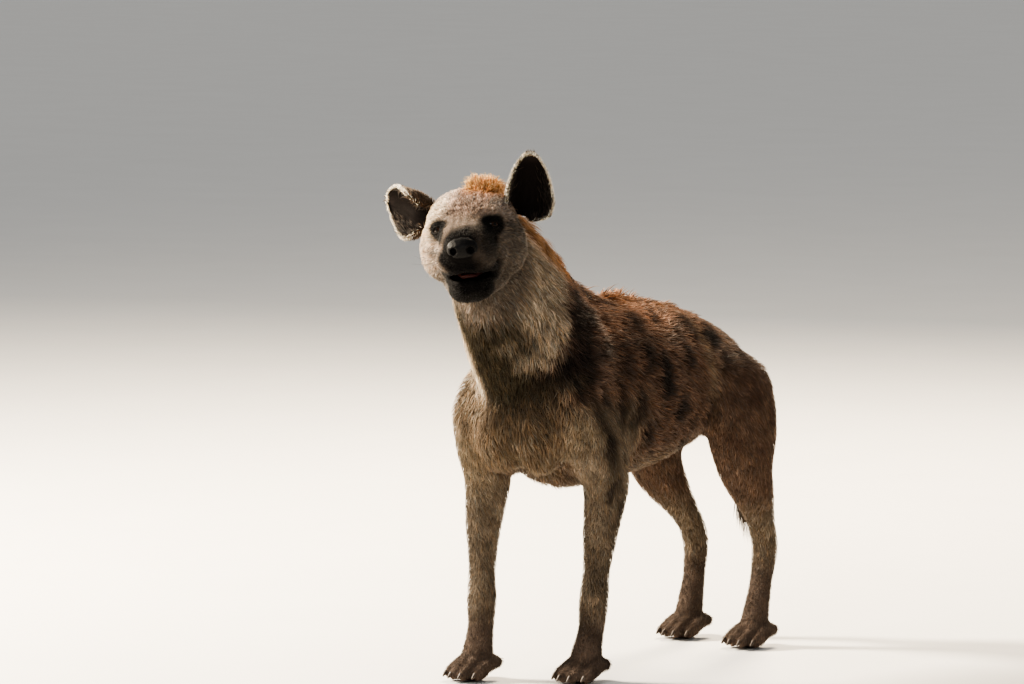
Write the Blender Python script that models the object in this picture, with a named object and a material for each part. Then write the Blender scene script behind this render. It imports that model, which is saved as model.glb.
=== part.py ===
# Life-size spotted hyena, standing, with its head raised and turned to its left.
# Metres, +Z up. It faces -Y, its left side is +X, and its feet rest on Z = 0.

import math
import random

import bmesh
import bpy
import numpy as np
from mathutils import Euler, Matrix, Vector
from mathutils.bvhtree import BVHTree

# Driving sizes, in metres.
WITHERS_HEIGHT = 0.745
TRUNK_LENGTH = 0.80
CHEST_WIDTH = 0.275
HEAD_LENGTH = 0.272
EAR_LENGTH = 0.1135
EYE_RADIUS = 0.0135
GAP = 0.0003

# The tables below are in centimetres of an animal 74.5 cm high at the withers, 80 cm long from the
# point of the shoulder to the buttock, 27.5 cm wide and 25.5 cm long in the head.
HIGH = WITHERS_HEIGHT / 74.5
LONG = TRUNK_LENGTH / 80
WIDE = CHEST_WIDTH / 27.5
HEAD = HEAD_LENGTH / 25.5
BODY_UNITS = (WIDE, LONG, HIGH)
HEAD_UNITS = (HEAD, HEAD, HEAD)

SIDES = {"left": 1, "right": -1}

# Mesh fineness: the two skins before they are thinned out, and the smoothing passes on each.
SKINS = {
    "body": {"voxel": 0.005, "passes": 30},
    "head": {"voxel": 0.0028, "passes": 6},
}
RING_SIDES = 28

# A piece is cut this far outside its planes, thinned out, and then cut on them. A socket is wider than
# what sits in it by SOCKET_GAP.
MARGIN = 0.02
SOCKET_GAP = 1.3 * GAP

# Trunk: back from the withers, top, belly, half width.
TRUNK = (
    (-15.5, 57.0, 44.0, 5.6),
    (-12.5, 62.0, 40.8, 9.2),
    (-8.6, 68.0, 37.8, 11.4),
    (0.0, 72.6, 36.2, 12.8),
    (10.4, 72.2, 36.5, 13.5),
    (21.6, 70.6, 37.5, 13.8),
    (32.8, 69.2, 39.8, 12.8),
    (42.4, 66.6, 43.0, 10.8),
    (51.2, 62.2, 45.5, 8.4),
    (56.6, 57.0, 47.0, 5.8),
    (60.0, 52.0, 48.0, 3.0),
)

# Muscle on the trunk, mirrored: centre, radii, turn about X in degrees. Shoulder, upper arm, withers,
# croup, thigh and breast.
BODY_MASSES = (
    ((9.2, -3.0, 56.0), (4.4, 8.5, 13.0), -14),
    ((10.0, 3.5, 48.0), (3.8, 8.0, 8.0), 20),
    ((4.6, 1.0, 66.0), (4.4, 8.5, 6.0), 0),
    ((6.4, 43.0, 61.0), (3.0, 5.4, 3.0), -16),
    ((8.2, 46.5, 50.5), (5.2, 9.6, 8.2), -35),
    ((4.6, -12.0, 48.5), (4.6, 6.2, 9.0), 15),
)

# Neck, from the head down: x, y, z, half width, above, below.
NECK = (
    (1.8, -28.5, 85.5, 7.2, 8.0, 8.0),
    (1.7, -23.5, 80.5, 8.0, 10.0, 10.0),
    (0.9, -16.5, 73.5, 9.2, 12.2, 12.4),
    (0.3, -8.5, 65.5, 10.8, 13.8, 14.6),
    (0.0, -1.0, 59.0, 11.8, 14.6, 15.0),
)

# Head: where its own zero lies, between the ears, and how it is turned, in degrees.
HEAD_PLACE = (3.4, -31.0, 87.0)
HEAD_TURN = {"pitch": -0.5, "roll": -6.5, "yaw": 30.0}

# Skull and upper jaw, in the head's own frame, nose first: y, top, bottom, half width.
SKULL = (
    (-18.6, 1.1, -4.6, 3.3),
    (-17.0, 2.0, -5.2, 4.1),
    (-14.8, 2.8, -5.5, 4.5),
    (-12.0, 3.6, -5.6, 4.8),
    (-9.6, 4.8, -5.8, 5.7),
    (-7.0, 6.3, -6.2, 7.1),
    (-3.0, 7.7, -6.8, 7.9),
    (1.0, 8.1, -6.6, 7.7),
    (5.0, 7.0, -5.4, 6.4),
)

# Lower jaw, closed, chin first: y, top, bottom, half width.
JAW = (
    (-17.0, -5.4, -7.9, 2.3),
    (-15.8, -5.2, -9.0, 3.2),
    (-12.6, -5.1, -9.4, 3.9),
    (-9.0, -5.0, -9.6, 4.6),
    (-5.0, -4.4, -9.8, 5.6),
    (-1.0, -3.6, -9.2, 6.0),
    (3.0, -3.0, -7.8, 5.4),
)
JAW_HINGE = (0.0, 0.0, -3.5)
JAW_OPEN = 6.0

# Flesh over the bones, mirrored: centre, radii, turn about X in degrees.
HEAD_MASSES = (
    ((5.6, -2.6, -2.2), (3.7, 6.2, 5.4), 0),
    ((3.9, -7.6, 2.4), (3.0, 3.8, 2.5), 0),
    ((5.2, -5.0, 0.4), (3.2, 4.4, 3.2), 0),
    ((2.6, -14.4, -3.0), (2.6, 4.2, 2.7), 0),
    ((4.8, 3.4, 3.2), (3.2, 3.0, 3.2), 0),
)

# Rolls of the lips, in the frame of the upper and of the lower jaw: out, back, up, from the front.
UPPER_LIP = ((0.0, -18.5, -4.6), (2.2, -17.9, -5.0), (3.6, -15.4, -5.2), (4.1, -11.8, -5.3), (4.7, -8.2, -5.4),
             (4.8, -4.5, -5.0))
LOWER_LIP = ((0.0, -17.0, -6.1), (1.9, -16.4, -6.0), (3.2, -13.6, -5.8), (3.9, -10.4, -5.7), (4.5, -7.6, -5.5),
             (4.8, -4.0, -5.0))
LIP_ROLL = 0.75

# Eye: its place, how far it looks out to the side and up, and the lids round it.
EYE_PLACE = (4.35, -10.0, 1.8)
EYE_LOOK = {"aside": 38.0, "up": 6.0}
LID_THICKNESS = 0.0024
EYE_SLIT = {"width": 0.024, "height": 0.0135, "tilt": 14.0}

# Nose pad: y, top, bottom, half width, from the front, and the nostrils cut into it.
NOSE = (
    (-20.1, -0.3, -2.7, 1.9),
    (-19.5, 0.4, -3.1, 2.5),
    (-18.3, 0.8, -3.3, 2.8),
    (-17.0, 0.7, -3.1, 2.5),
)
NOSTRIL = {"place": (1.45, -20.0, -1.5), "radii": (0.72, 1.3, 0.85), "turn": -20.0,
           "slit": ((2.35, -19.5, -2.3), (0.9, 0.9, 0.32))}

# Tongue, in the lower jaw's frame: y, top, bottom, half width.
TONGUE = ((-14.6, -4.5, -5.3, 1.5), (-12.0, -4.2, -5.6, 2.3), (-8.0, -3.9, -5.8, 2.6), (-5.0, -3.9, -5.8, 2.4))

# Ear: half widths and half angles of its cup from the root to the tip, how each ear stands, and how far its lowest
# part, up to EAR_BENT of its length, bends towards the head.
EAR_WIDTH = 0.095
EAR_CUP = ((0.0, 0.46, 120), (0.07, 0.80, 108), (0.17, 0.93, 94), (0.36, 0.94, 74), (0.58, 0.82, 56),
           (0.78, 0.60, 40), (0.92, 0.34, 28), (1.0, 0.13, 20))
EAR_THICKNESS = {"root": 0.005, "rim": 0.0028}
EARS = {
    "left": {"root": (8.4, 2.2, 3.1), "axis": (0.29, -0.28, 0.93), "facing": (0.42, -0.85, -0.03), "bend": (-1.3, 0.1, -0.5)},
    "right": {"root": (-7.6, 0.4, 4.4), "axis": (-0.66, 0.60, 0.26), "facing": (-0.41, -0.99, -0.17), "bend": (1.4, 0.6, -0.4)},
}
EAR_BENT = 0.35

# Mane: its ridge along the nape and the back (x, y, z, half width), and how high the hair stands there.
MANE = (
    (1.4, -23.0, 92.2, 3.2, 1.6),
    (1.4, -16.5, 88.0, 3.6, 2.2),
    (0.8, -8.2, 82.2, 4.0, 2.8),
    (0.2, 0.5, 75.6, 4.4, 3.0),
    (0.0, 8.5, 72.0, 4.6, 2.2),
    (0.0, 20.0, 70.4, 4.4, 1.6),
    (0.0, 31.0, 69.0, 3.6, 1.1),
    (0.0, 41.0, 66.2, 2.8, 0.8),
)
MANE_DEPTH = 3.0

# The core under the locks reaches this share of the way to their tips.
MANE_SHARE = 0.45

# A lock of hair, in centimetres: it is sunk into the skin by its root, and each row of its shape gives
# the share of its length, of its lift and of its width. Then how much locks differ from each other.
LOCK = {"length": 7.0, "width": 3.0, "thickness": 0.8, "sunk": 1.0, "root_share": 0.8}
LOCK_SHAPE = ((0.30, 0.62, 1.0), (0.68, 1.0, 0.72), (1.0, 0.86, 0.0))
LOCK_SPREAD = {"turn": 16.0, "size": 0.18, "place": 0.35}

# The mane's locks: distance between stations, the rows at each, the sideways distance between rows, the
# slope, and the size on the lowest part with what the height of the hair adds to it.
MANE_LOCKS = {"step": 3.3, "rows": (-1, 0, 1), "spacing": 2.1, "rise": 0.12, "size": 0.66, "growth": 0.12,
              "seed": 7}

# The tuft on the crown, in the head's frame: its middle, the core's radii, and rings of locks (radius,
# count) that rise, spread and lie back.
CROWN_TUFT = {"centre": (2.3, 3.0, 6.8), "radii": (4.2, 4.4, 2.4)}
TUFT_LOCKS = {"rings": ((0.0, 1), (1.6, 5), (3.1, 6)), "rise": 0.75, "fan": 6.0, "lift": 0.7, "size": 0.56,
              "seed": 11}

# The brush of the tail: rings of locks from a share of the tail's length on.
BRUSH_LOCKS = {"rings": 6, "sides": 4, "start": 0.46, "splay": 0.22, "lift": 0.9, "size": 1.2, "seed": 5}

# How far above the skin the search for a lock's root starts, and how finely a path is read for it.
SEARCH_HEIGHT = 14.0
FINE_ROWS = 200

# Forelegs, from the shoulder blade down: x, y, z of the path, and half width, behind, before.
FORE_PATHS = {
    "left": ((8.0, 1, 62), (10.4, -8, 52), (11.4, -3.5, 45), (11.5, 0, 38.5), (10.9, -0.6, 29),
             (10.2, -1.2, 20), (10.0, -1.6, 15.5), (9.8, -2.1, 10), (9.6, -3.6, 4.6)),
    "right": ((8.0, 0, 62), (10.0, -11, 51), (10.8, -8.4, 44.5), (11.0, -7.2, 38.5), (10.6, -9.0, 29),
              (10.0, -10.2, 20), (9.8, -10.6, 15.5), (9.6, -11.2, 10), (9.4, -12.6, 4.6)),
}
FORE_GIRTHS = ((3.5, 7, 7), (4.5, 8.5, 6), (5.0, 8.0, 6), (4.3, 5.6, 4.8), (3.4, 3.7, 3.6),
               (2.6, 2.7, 2.6), (2.8, 2.8, 2.7), (2.5, 2.3, 2.3), (3.2, 2.6, 2.6))

# Hind legs, from the croup down, in the same way.
HIND_PATHS = {
    "left": ((7.4, 45.5, 53.5), (8.8, 47.0, 50), (10.6, 46.5, 44), (11.6, 47.0, 36.5), (11.0, 52.0, 29.5),
             (10.0, 55.6, 24.5), (9.4, 57.6, 20.5), (9.1, 57.0, 13), (9.0, 54.8, 4.6)),
    "right": ((7.4, 46.0, 53.5), (8.8, 47.8, 50), (10.4, 47.8, 44), (11.2, 48.6, 36.5), (10.6, 54.0, 29.5),
              (9.8, 58.2, 24.5), (9.3, 60.4, 20.5), (9.1, 60.2, 13), (9.0, 58.2, 4.6)),
}
HIND_GIRTHS = ((5.0, 9.5, 7.5), (5.8, 11.5, 8.8), (5.6, 11.0, 8.2), (4.8, 8.4, 5.6), (3.5, 4.8, 3.9),
               (2.6, 3.3, 2.7), (2.6, 3.1, 2.4), (2.2, 2.2, 2.0), (2.9, 2.4, 2.4))

# A toe, from its root forward: out, forward, up, half width, above, below.
TOE = ((1.00, 1.0, 3.4, 1.15, 1.2, 1.3), (1.06, -2.2, 3.2, 1.12, 1.25, 1.5), (1.12, -4.6, 2.3, 1.08, 1.15, 1.7),
       (1.14, -6.3, 1.6, 0.95, 0.95, 1.4))
TOE_PLACES = ((-3.0, 1.5), (-1.02, 0.0), (1.02, 0.0), (3.0, 1.5))
HEEL_PAD = ((0.0, -1.6, 1.4), (2.9, 2.4, 1.9))

# Claws: ahead of the toe's tip, height and half thickness, from the root.
CLAW = ((-0.9, 2.1, 0.46), (0.6, 1.8, 0.42), (1.6, 1.05, 0.18))
CLAW_SIDES = 5

# Height under which the skin is kept crisp, the height from which it is soft, and how soft a paw is.
PAW_HEIGHTS = (12.0, 30.0)
PAW_SOFTNESS = 0.12

# Tail, from the root down: x, y, z, half width, behind, before.
TAIL = (
    (0.0, 53.5, 54.0, 2.7, 2.7, 2.7),
    (0.0, 60.0, 52.4, 2.5, 2.5, 2.5),
    (0.0, 63.4, 48.5, 2.1, 2.1, 2.1),
    (0.2, 64.6, 43.0, 1.8, 1.8, 1.8),
    (0.4, 65.0, 37.5, 1.5, 1.5, 1.5),
    (0.5, 64.8, 32.0, 1.1, 1.1, 1.1),
)

# Where the body is parted, each plane by a point on it and the way it faces. The first two are in the
# head's frame.
HEAD_SEAM = {"point": (0.0, 4.8, 0.0), "normal": (0.0, 0.985, -0.17)}
MOUTH_SEAM = {"point": (0.0, -10.0, -6.0), "normal": (0.0, 0.03, -1.0)}
NECK_SEAM = {"point": (0.0, -9.0, 66.0), "normal": (0.0, -0.8, 0.6)}
MIDDLE_OF_BACK = 20.0

# Legs: two points (x, z) on the slope between leg and body, two points (y, z) on the plane towards the
# flank and which way it faces, the height of the cut above the foot, and how fine the pieces are.
LEG_SEAMS = {
    "fore": {"body": ((5.0, 38.5), (16.5, 60.0)), "flank": ((9.5, 36.0), (11.0, 60.0)), "flank_faces": 1,
             "foot": 12.5, "foot_name": "fore_paw", "leg_triangles": 480, "foot_triangles": 470},
    "hind": {"body": ((3.6, 44.0), (13.0, 60.0)), "flank": ((33.0, 37.0), (40.0, 62.0)), "flank_faces": -1,
             "foot": 16.5, "foot_name": "hind_foot", "leg_triangles": 560, "foot_triangles": 470},
}
TRIANGLES = {"head": 2100, "jaw": 560, "neck": 580, "torso": 1200}
EYE_FINENESS = (14, 8)
SLIT_SIDES = 14
EAR_FINENESS = 8

# Colour and roughness of each finish, and the nodes that wear it, by the start of their names.
FINISHES = {
    "face": ((0.30, 0.21, 0.14), 0.9),
    "dark hide": ((0.035, 0.028, 0.026), 0.8),
    "wet hide": ((0.012, 0.010, 0.010), 0.35),
    "tongue": ((0.42, 0.17, 0.15), 0.45),
    "eye": ((0.018, 0.010, 0.006), 0.08),
    "neck": ((0.42, 0.31, 0.20), 0.9),
    "coat": ((0.22, 0.12, 0.065), 0.9),
    "legs": ((0.16, 0.105, 0.07), 0.9),
    "brush": ((0.03, 0.02, 0.016), 0.9),
    "claw": ((0.05, 0.042, 0.036), 0.45),
}
WEARS = {
    "face": ("head", "jaw"),
    "dark hide": ("ear",),
    "wet hide": ("nose",),
    "tongue": ("tongue",),
    "eye": ("eye",),
    "neck": ("neck",),
    "coat": ("torso",),
    "brush": ("tail",),
    "claw": ("claw",),
    "legs": ("fore", "hind"),
}


def smoothed(rows, count):
    # Rows of numbers read from one smooth curve through the given rows.
    rows = np.array(rows, float)
    at = np.concatenate([[0], np.cumsum(np.linalg.norm(np.diff(rows[:, :3], axis=0), axis=1))])
    slope = np.gradient(rows, at, axis=0)
    places = np.linspace(0, at[-1], count)
    low = np.clip(np.searchsorted(at, places, side="right") - 1, 0, len(at) - 2)
    span = (at[low + 1] - at[low])[:, None]
    t = (places - at[low])[:, None] / span
    start = (1 + 2 * t) * (1 - t) ** 2 * rows[low] + t * (1 - t) ** 2 * span * slope[low]
    end = t * t * (3 - 2 * t) * rows[low + 1] + t * t * (t - 1) * span * slope[low + 1]
    return start + end


def ring_points(centre, along, side, sizes, power, count):
    # An oval ring across the direction along, with its own size above and below.
    half_width, above, below = sizes
    across = (side - along * side.dot(along)).normalized()
    up = across.cross(along)
    points = []
    for k in range(count):
        angle = 2 * math.pi * k / count
        c, s = math.cos(angle), math.sin(angle)
        x = half_width * math.copysign(abs(c) ** (2 / power), c)
        z = (above if s > 0 else below) * math.copysign(abs(s) ** (2 / power), s)
        points.append(centre + across * x + up * z)
    return points


def add_rings(bm, rings, first_tip, last_tip):
    # A closed tube through the rings, ending in two points.
    rows = [[bm.verts.new(p) for p in ring] for ring in rings]
    count = len(rows[0])
    made = []
    for a, b in zip(rows, rows[1:]):
        for k in range(count):
            n = (k + 1) % count
            made.append(bm.faces.new((a[k], a[n], b[n], b[k])))
    for row, tip in ((rows[0], first_tip), (rows[-1], last_tip)):
        point = bm.verts.new(tip)
        for k in range(count):
            made.append(bm.faces.new((row[k], row[(k + 1) % count], point)))
    bmesh.ops.recalc_face_normals(bm, faces=made)


def add_loft(bm, rows, count, side=(1, 0, 0), power=2.0, sides=RING_SIDES, place=None, dome=1.0):
    # Rows hold x, y, z, half width, above and below. Both ends are rounded off.
    place = place or Matrix.Identity(4)
    rows = smoothed(rows, count)
    centres = [Vector(r[:3]) for r in rows]
    side = Vector(side)
    rings = []
    tips = []
    for i, row in enumerate(rows):
        along = (centres[min(i + 1, count - 1)] - centres[max(i - 1, 0)]).normalized()
        if i in (0, count - 1):
            out = -along if i == 0 else along
            reach = dome * min(row[3], (row[4] + row[5]) / 2)
            caps = []
            for degrees in (30, 55, 75):
                lift = math.radians(degrees)
                shrunk = [v * math.cos(lift) for v in row[3:6]]
                middle = centres[i] + out * reach * math.sin(lift)
                caps.append(ring_points(middle, along, side, shrunk, power, sides))
            tips.append(centres[i] + out * reach)
            whole = ring_points(centres[i], along, side, row[3:6], power, sides)
            rings += [*caps[::-1], whole] if i == 0 else [whole, *caps]
        else:
            rings.append(ring_points(centres[i], along, side, row[3:6], power, sides))
    add_rings(bm, [[place @ p for p in ring] for ring in rings], place @ tips[0], place @ tips[1])


def times(point, factors):
    return Vector([v * f for v, f in zip(point, factors)])


def mirrored(point, sign):
    return (point[0] * sign, *point[1:])


def head_matrix():
    turn = Matrix.Rotation(math.radians(HEAD_TURN["yaw"]), 4, "Z")
    turn @= Matrix.Rotation(math.radians(HEAD_TURN["pitch"]), 4, "X")
    turn @= Matrix.Rotation(math.radians(HEAD_TURN["roll"]), 4, "Y")
    return Matrix.Translation(times(HEAD_PLACE, BODY_UNITS)) @ turn


def jaw_matrix():
    hinge = Matrix.Translation(times(JAW_HINGE, HEAD_UNITS))
    return head_matrix() @ hinge @ Matrix.Rotation(math.radians(JAW_OPEN), 4, "X") @ hinge.inverted()


def add_mass(bm, centre, radii, turn=(0, 0, 0), place=None, fineness=3):
    # A rounded lump of flesh, turned about its centre, in degrees.
    turned = Euler([math.radians(a) for a in turn]).to_matrix().to_4x4()
    size = Matrix.Diagonal((*radii, 1))
    matrix = (place or Matrix.Identity(4)) @ Matrix.Translation(centre) @ turned @ size
    bmesh.ops.create_icosphere(bm, subdivisions=fineness, radius=1, matrix=matrix)


def profile_rows(table, units):
    # A table of y, top, bottom and half width, as loft rows.
    wide, long, high = units
    rows = []
    for y, top, bottom, half_width in table:
        middle = (top + bottom) / 2
        half = (top - bottom) / 2
        rows.append((0, y * long, middle * high, half_width * wide, half * high, half * high))
    return rows


def path_rows(table, sign=1):
    # A table of x, y, z, half width and two heights, as loft rows.
    rows = []
    for x, y, z, half_width, above, below in table:
        rows.append((x * WIDE * sign, y * LONG, z * HIGH, half_width * WIDE, above * HIGH, below * HIGH))
    return rows


def add_trunk(bm):
    add_loft(bm, profile_rows(TRUNK, BODY_UNITS), 34, power=2.25, dome=0.6)
    add_loft(bm, path_rows(NECK), 18)
    for centre, radii, turn in BODY_MASSES:
        for sign in SIDES.values():
            add_mass(bm, times(mirrored(centre, sign), BODY_UNITS), times(radii, BODY_UNITS), (turn, 0, 0))
    ridge = [(x, y, z, half_width, height * MANE_SHARE, MANE_DEPTH) for x, y, z, half_width, height in MANE]
    add_loft(bm, path_rows(ridge), 24, sides=12)


def add_lip(bm, points, place):
    for sign in SIDES.values():
        rows = [(*times(mirrored(p, sign), HEAD_UNITS), *[LIP_ROLL * HEAD] * 3) for p in points]
        add_loft(bm, rows, 12, side=(0, 0, 1), sides=10, place=place)


def eye_matrix(sign):
    # The eye's own frame: it looks along -Y.
    turn = Matrix.Rotation(math.radians(EYE_LOOK["aside"] * sign), 4, "Z")
    turn @= Matrix.Rotation(-math.radians(EYE_LOOK["up"]), 4, "X")
    return head_matrix() @ Matrix.Translation(times(mirrored(EYE_PLACE, sign), HEAD_UNITS)) @ turn


def add_head(bm):
    place = head_matrix()
    add_loft(bm, profile_rows(SKULL, HEAD_UNITS), 30, power=2.5, place=place, dome=0.5)
    add_loft(bm, profile_rows(JAW, HEAD_UNITS), 22, power=2.4, place=jaw_matrix(), dome=0.6)
    for centre, radii, turn in HEAD_MASSES:
        for sign in SIDES.values():
            add_mass(bm, times(mirrored(centre, sign), HEAD_UNITS), times(radii, HEAD_UNITS), (turn, 0, 0), place)
    add_lip(bm, UPPER_LIP, place)
    add_lip(bm, LOWER_LIP, jaw_matrix())
    lid = EYE_RADIUS + GAP + LID_THICKNESS
    for sign in SIDES.values():
        add_mass(bm, (0, 0, 0), (lid, lid, lid), place=eye_matrix(sign))
    tuft = [v * MANE_SHARE for v in CROWN_TUFT["radii"]]
    add_mass(bm, times(CROWN_TUFT["centre"], HEAD_UNITS), times(tuft, HEAD_UNITS), place=place)


def limb_rows(path, girths, sign):
    return path_rows([(*point, *girth) for point, girth in zip(path, girths)], sign)


def add_paw(bm, root, sign):
    # Four toes side by side and the pad behind them. root is the knuckle above the toes.
    for out, back in TOE_PLACES:
        rows = []
        for spread, forward, up, half_width, above, below in TOE:
            rows.append((root[0] + out * spread, root[1] + back + forward, up, half_width, above, below))
        add_loft(bm, path_rows(rows[::-1], sign), 8, sides=14)
    centre, radii = HEEL_PAD
    middle = (root[0] + centre[0], root[1] + centre[1], centre[2])
    add_mass(bm, times(mirrored(middle, sign), BODY_UNITS), times(radii, BODY_UNITS))


def add_legs(bm):
    for side, sign in SIDES.items():
        for paths, girths in ((FORE_PATHS, FORE_GIRTHS), (HIND_PATHS, HIND_GIRTHS)):
            add_loft(bm, limb_rows(paths[side], girths, sign), 40)
            add_paw(bm, paths[side][-1], sign)


def object_of(bm, name):
    mesh = bpy.data.meshes.new(name)
    bm.to_mesh(mesh)
    bm.free()
    obj = bpy.data.objects.new(name, mesh)
    bpy.context.scene.collection.objects.link(obj)
    return obj


def bmesh_of(obj):
    bm = bmesh.new()
    bm.from_mesh(obj.data)
    return bm


def applied(obj):
    # The object's mesh as its modifiers leave it, in place of the modifiers.
    graph = bpy.context.evaluated_depsgraph_get()
    mesh = bpy.data.meshes.new_from_object(obj.evaluated_get(graph))
    obj.modifiers.clear()
    old = obj.data
    obj.data = mesh
    bpy.data.meshes.remove(old)
    return obj


def skin(kind, makers):
    # Lumps of flesh run together into one smooth closed skin.
    bm = bmesh.new()
    for maker in makers:
        maker(bm)
    obj = object_of(bm, f"{kind}_skin")
    remesh = obj.modifiers.new("skin", "REMESH")
    remesh.mode = "VOXEL"
    remesh.voxel_size = SKINS[kind]["voxel"]
    applied(obj)
    group = obj.vertex_groups.new(name="soft")
    crisp, soft = (v * HIGH for v in PAW_HEIGHTS)
    for vertex in obj.data.vertices:
        weight = min(1, max(PAW_SOFTNESS, (vertex.co.z - crisp) / (soft - crisp)))
        group.add([vertex.index], weight, "REPLACE")
    smooth = obj.modifiers.new("smooth", "SMOOTH")
    smooth.factor = 0.5
    smooth.iterations = SKINS[kind]["passes"]
    smooth.vertex_group = group.name
    return applied(obj)


def cut(bm, place, normal):
    # Takes away what lies beyond the plane, and closes the cut with a flat face.
    everything = bm.verts[:] + bm.edges[:] + bm.faces[:]
    bmesh.ops.bisect_plane(bm, geom=everything, dist=1e-7, plane_co=place, plane_no=normal, clear_outer=True)
    rim = [edge for edge in bm.edges if edge.is_boundary]
    if rim:
        bmesh.ops.holes_fill(bm, edges=rim, sides=0)


def islands(bm):
    found = []
    left = set(bm.verts)
    while left:
        seed = left.pop()
        group = {seed}
        waiting = [seed]
        while waiting:
            vertex = waiting.pop()
            for edge in vertex.link_edges:
                other = edge.other_vert(vertex)
                if other not in group:
                    group.add(other)
                    waiting.append(other)
        left -= group
        found.append(group)
    return found


def keep_largest(bm):
    # Drops all but the closed surface with the largest box.
    def size(group):
        points = np.array([v.co for v in group])
        return float(np.prod(np.ptp(points, axis=0)))

    groups = sorted(islands(bm), key=size)
    for group in groups[:-1]:
        bmesh.ops.delete(bm, geom=list(group), context="VERTS")


def thinned(obj, count):
    decimate = obj.modifiers.new("fewer", "DECIMATE")
    obj.data.calc_loop_triangles()
    decimate.ratio = min(1, count / len(obj.data.loop_triangles))
    return applied(obj)


def lock(root, out, lie, scale, lift, draw):
    # A flat tapered lock: sunk in the skin, raised by lift over its length, and bent over along its lie.
    turn = draw.uniform(-LOCK_SPREAD["turn"], LOCK_SPREAD["turn"])
    lie = Matrix.Rotation(math.radians(turn), 3, out) @ lie
    scale *= 1 + draw.uniform(-LOCK_SPREAD["size"], LOCK_SPREAD["size"])
    side = lie.cross(out).normalized()
    length, width, thickness, sunk = (LOCK[k] * HIGH * scale for k in ("length", "width", "thickness", "sunk"))
    path = [root - out * sunk]
    path += [root + lie * length * along + out * lift * up for along, up, _ in LOCK_SHAPE]
    rings = []
    for point, after, broad in zip(path, path[1:], (LOCK["root_share"], *[row[2] for row in LOCK_SHAPE])):
        flat = side.cross(after - point).normalized()
        middle = [(side * width, 0.5), (flat * thickness, 0.5), (side * width, -0.5), (flat * thickness, -0.5)]
        rings.append([point + way * share * broad for way, share in middle])
    bm = bmesh.new()
    add_rings(bm, rings, path[0], path[-1])
    return object_of(bm, "lock")


def fused(obj, locks):
    # One closed body of the object and the locks on it, which go.
    holder = bpy.data.collections.new("locks")
    bpy.context.scene.collection.children.link(holder)
    for item in locks:
        bpy.context.scene.collection.objects.unlink(item)
        holder.objects.link(item)
    boolean = obj.modifiers.new("locks", "BOOLEAN")
    boolean.operation = "UNION"
    boolean.operand_type = "COLLECTION"
    boolean.collection = holder
    boolean.solver = "MANIFOLD"
    applied(obj)
    for item in list(holder.objects):
        bpy.data.objects.remove(item)
    bpy.data.collections.remove(holder)
    bm = bmesh_of(obj)
    keep_largest(bm)
    return remade(obj, bm)


def surface_of(obj):
    bm = bmesh_of(obj)
    tree = BVHTree.FromBMesh(bm)
    bm.free()
    return tree


def mane_locks(obj, inside):
    # Rows of locks along the ridge, where inside says that their roots are on this node.
    tree = surface_of(obj)
    draw = random.Random(MANE_LOCKS["seed"])
    ridge = smoothed(MANE, FINE_ROWS)
    places = [times(row[:3], BODY_UNITS) for row in ridge]
    run = np.concatenate([[0], np.cumsum([(b - a).length for a, b in zip(places, places[1:])])])
    step = MANE_LOCKS["step"] * HIGH
    locks = []
    for station in range(int(run[-1] / step)):
        for across in MANE_LOCKS["rows"]:
            shift = 0.5 + draw.uniform(-LOCK_SPREAD["place"], LOCK_SPREAD["place"]) + 0.5 * abs(across)
            at = min(int(np.searchsorted(run, (station + shift) * step)), FINE_ROWS - 2)
            back = (places[at + 1] - places[at]).normalized()
            up = Vector((1, 0, 0)).cross(back)
            start = places[at] + Vector((across * MANE_LOCKS["spacing"] * WIDE, 0, 0)) + up * SEARCH_HEIGHT * HIGH
            hit, normal, _, _ = tree.ray_cast(start, -up)
            if hit and inside(hit):
                height = ridge[at][4]
                lie = (back + normal * MANE_LOCKS["rise"]).normalized()
                size = MANE_LOCKS["size"] + MANE_LOCKS["growth"] * height
                locks.append(lock(hit, normal, lie, size, height * HIGH * (1 - MANE_SHARE), draw))
    return locks


def tuft_locks(obj):
    # The tuft on the crown: rings of locks that rise and lie back.
    tree = surface_of(obj)
    place = head_matrix()
    draw = random.Random(TUFT_LOCKS["seed"])
    middle = Vector(CROWN_TUFT["centre"])
    back = place.to_3x3() @ Vector((0, 1, 0))
    up = place.to_3x3() @ Vector((0, 0, 1))
    locks = []
    for radius, count in TUFT_LOCKS["rings"]:
        for k in range(count):
            angle = 2 * math.pi * (k + draw.uniform(-0.2, 0.2)) / count
            aside = Vector((radius * math.cos(angle), radius * math.sin(angle), 0))
            start = place @ times((middle.x + aside.x, middle.y + aside.y, SEARCH_HEIGHT), HEAD_UNITS)
            hit, normal, _, _ = tree.ray_cast(start, -up)
            spread = (hit - place @ times(middle, HEAD_UNITS)) * TUFT_LOCKS["fan"]
            lie = (back + up * TUFT_LOCKS["rise"] + spread).normalized()
            locks.append(lock(hit, normal, lie, TUFT_LOCKS["size"], TUFT_LOCKS["lift"] * HIGH, draw))
    return locks


def brush_locks():
    # The brush of the tail: rings of locks round it that hang down and overlap, and the last ones past its tip.
    draw = random.Random(BRUSH_LOCKS["seed"])
    rows = smoothed(path_rows(TAIL), FINE_ROWS)
    rings, sides, start = (BRUSH_LOCKS[k] for k in ("rings", "sides", "start"))
    locks = []
    for ring in range(rings):
        share = start + (1 - start) * ring / (rings - 1)
        at = min(int(share * FINE_ROWS), FINE_ROWS - 2)
        middle = Vector(rows[at][:3])
        down = (Vector(rows[at + 1][:3]) - middle).normalized()
        for k in range(sides):
            angle = 2 * math.pi * (k + 0.5 * (ring % 2) + draw.uniform(-0.15, 0.15)) / sides
            out = Matrix.Rotation(angle, 3, down) @ down.orthogonal().normalized()
            root = middle + out * rows[at][3] * 0.8
            lie = (down + out * BRUSH_LOCKS["splay"]).normalized()
            locks.append(lock(root, out, lie, BRUSH_LOCKS["size"], BRUSH_LOCKS["lift"] * HIGH, draw))
    return locks


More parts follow.
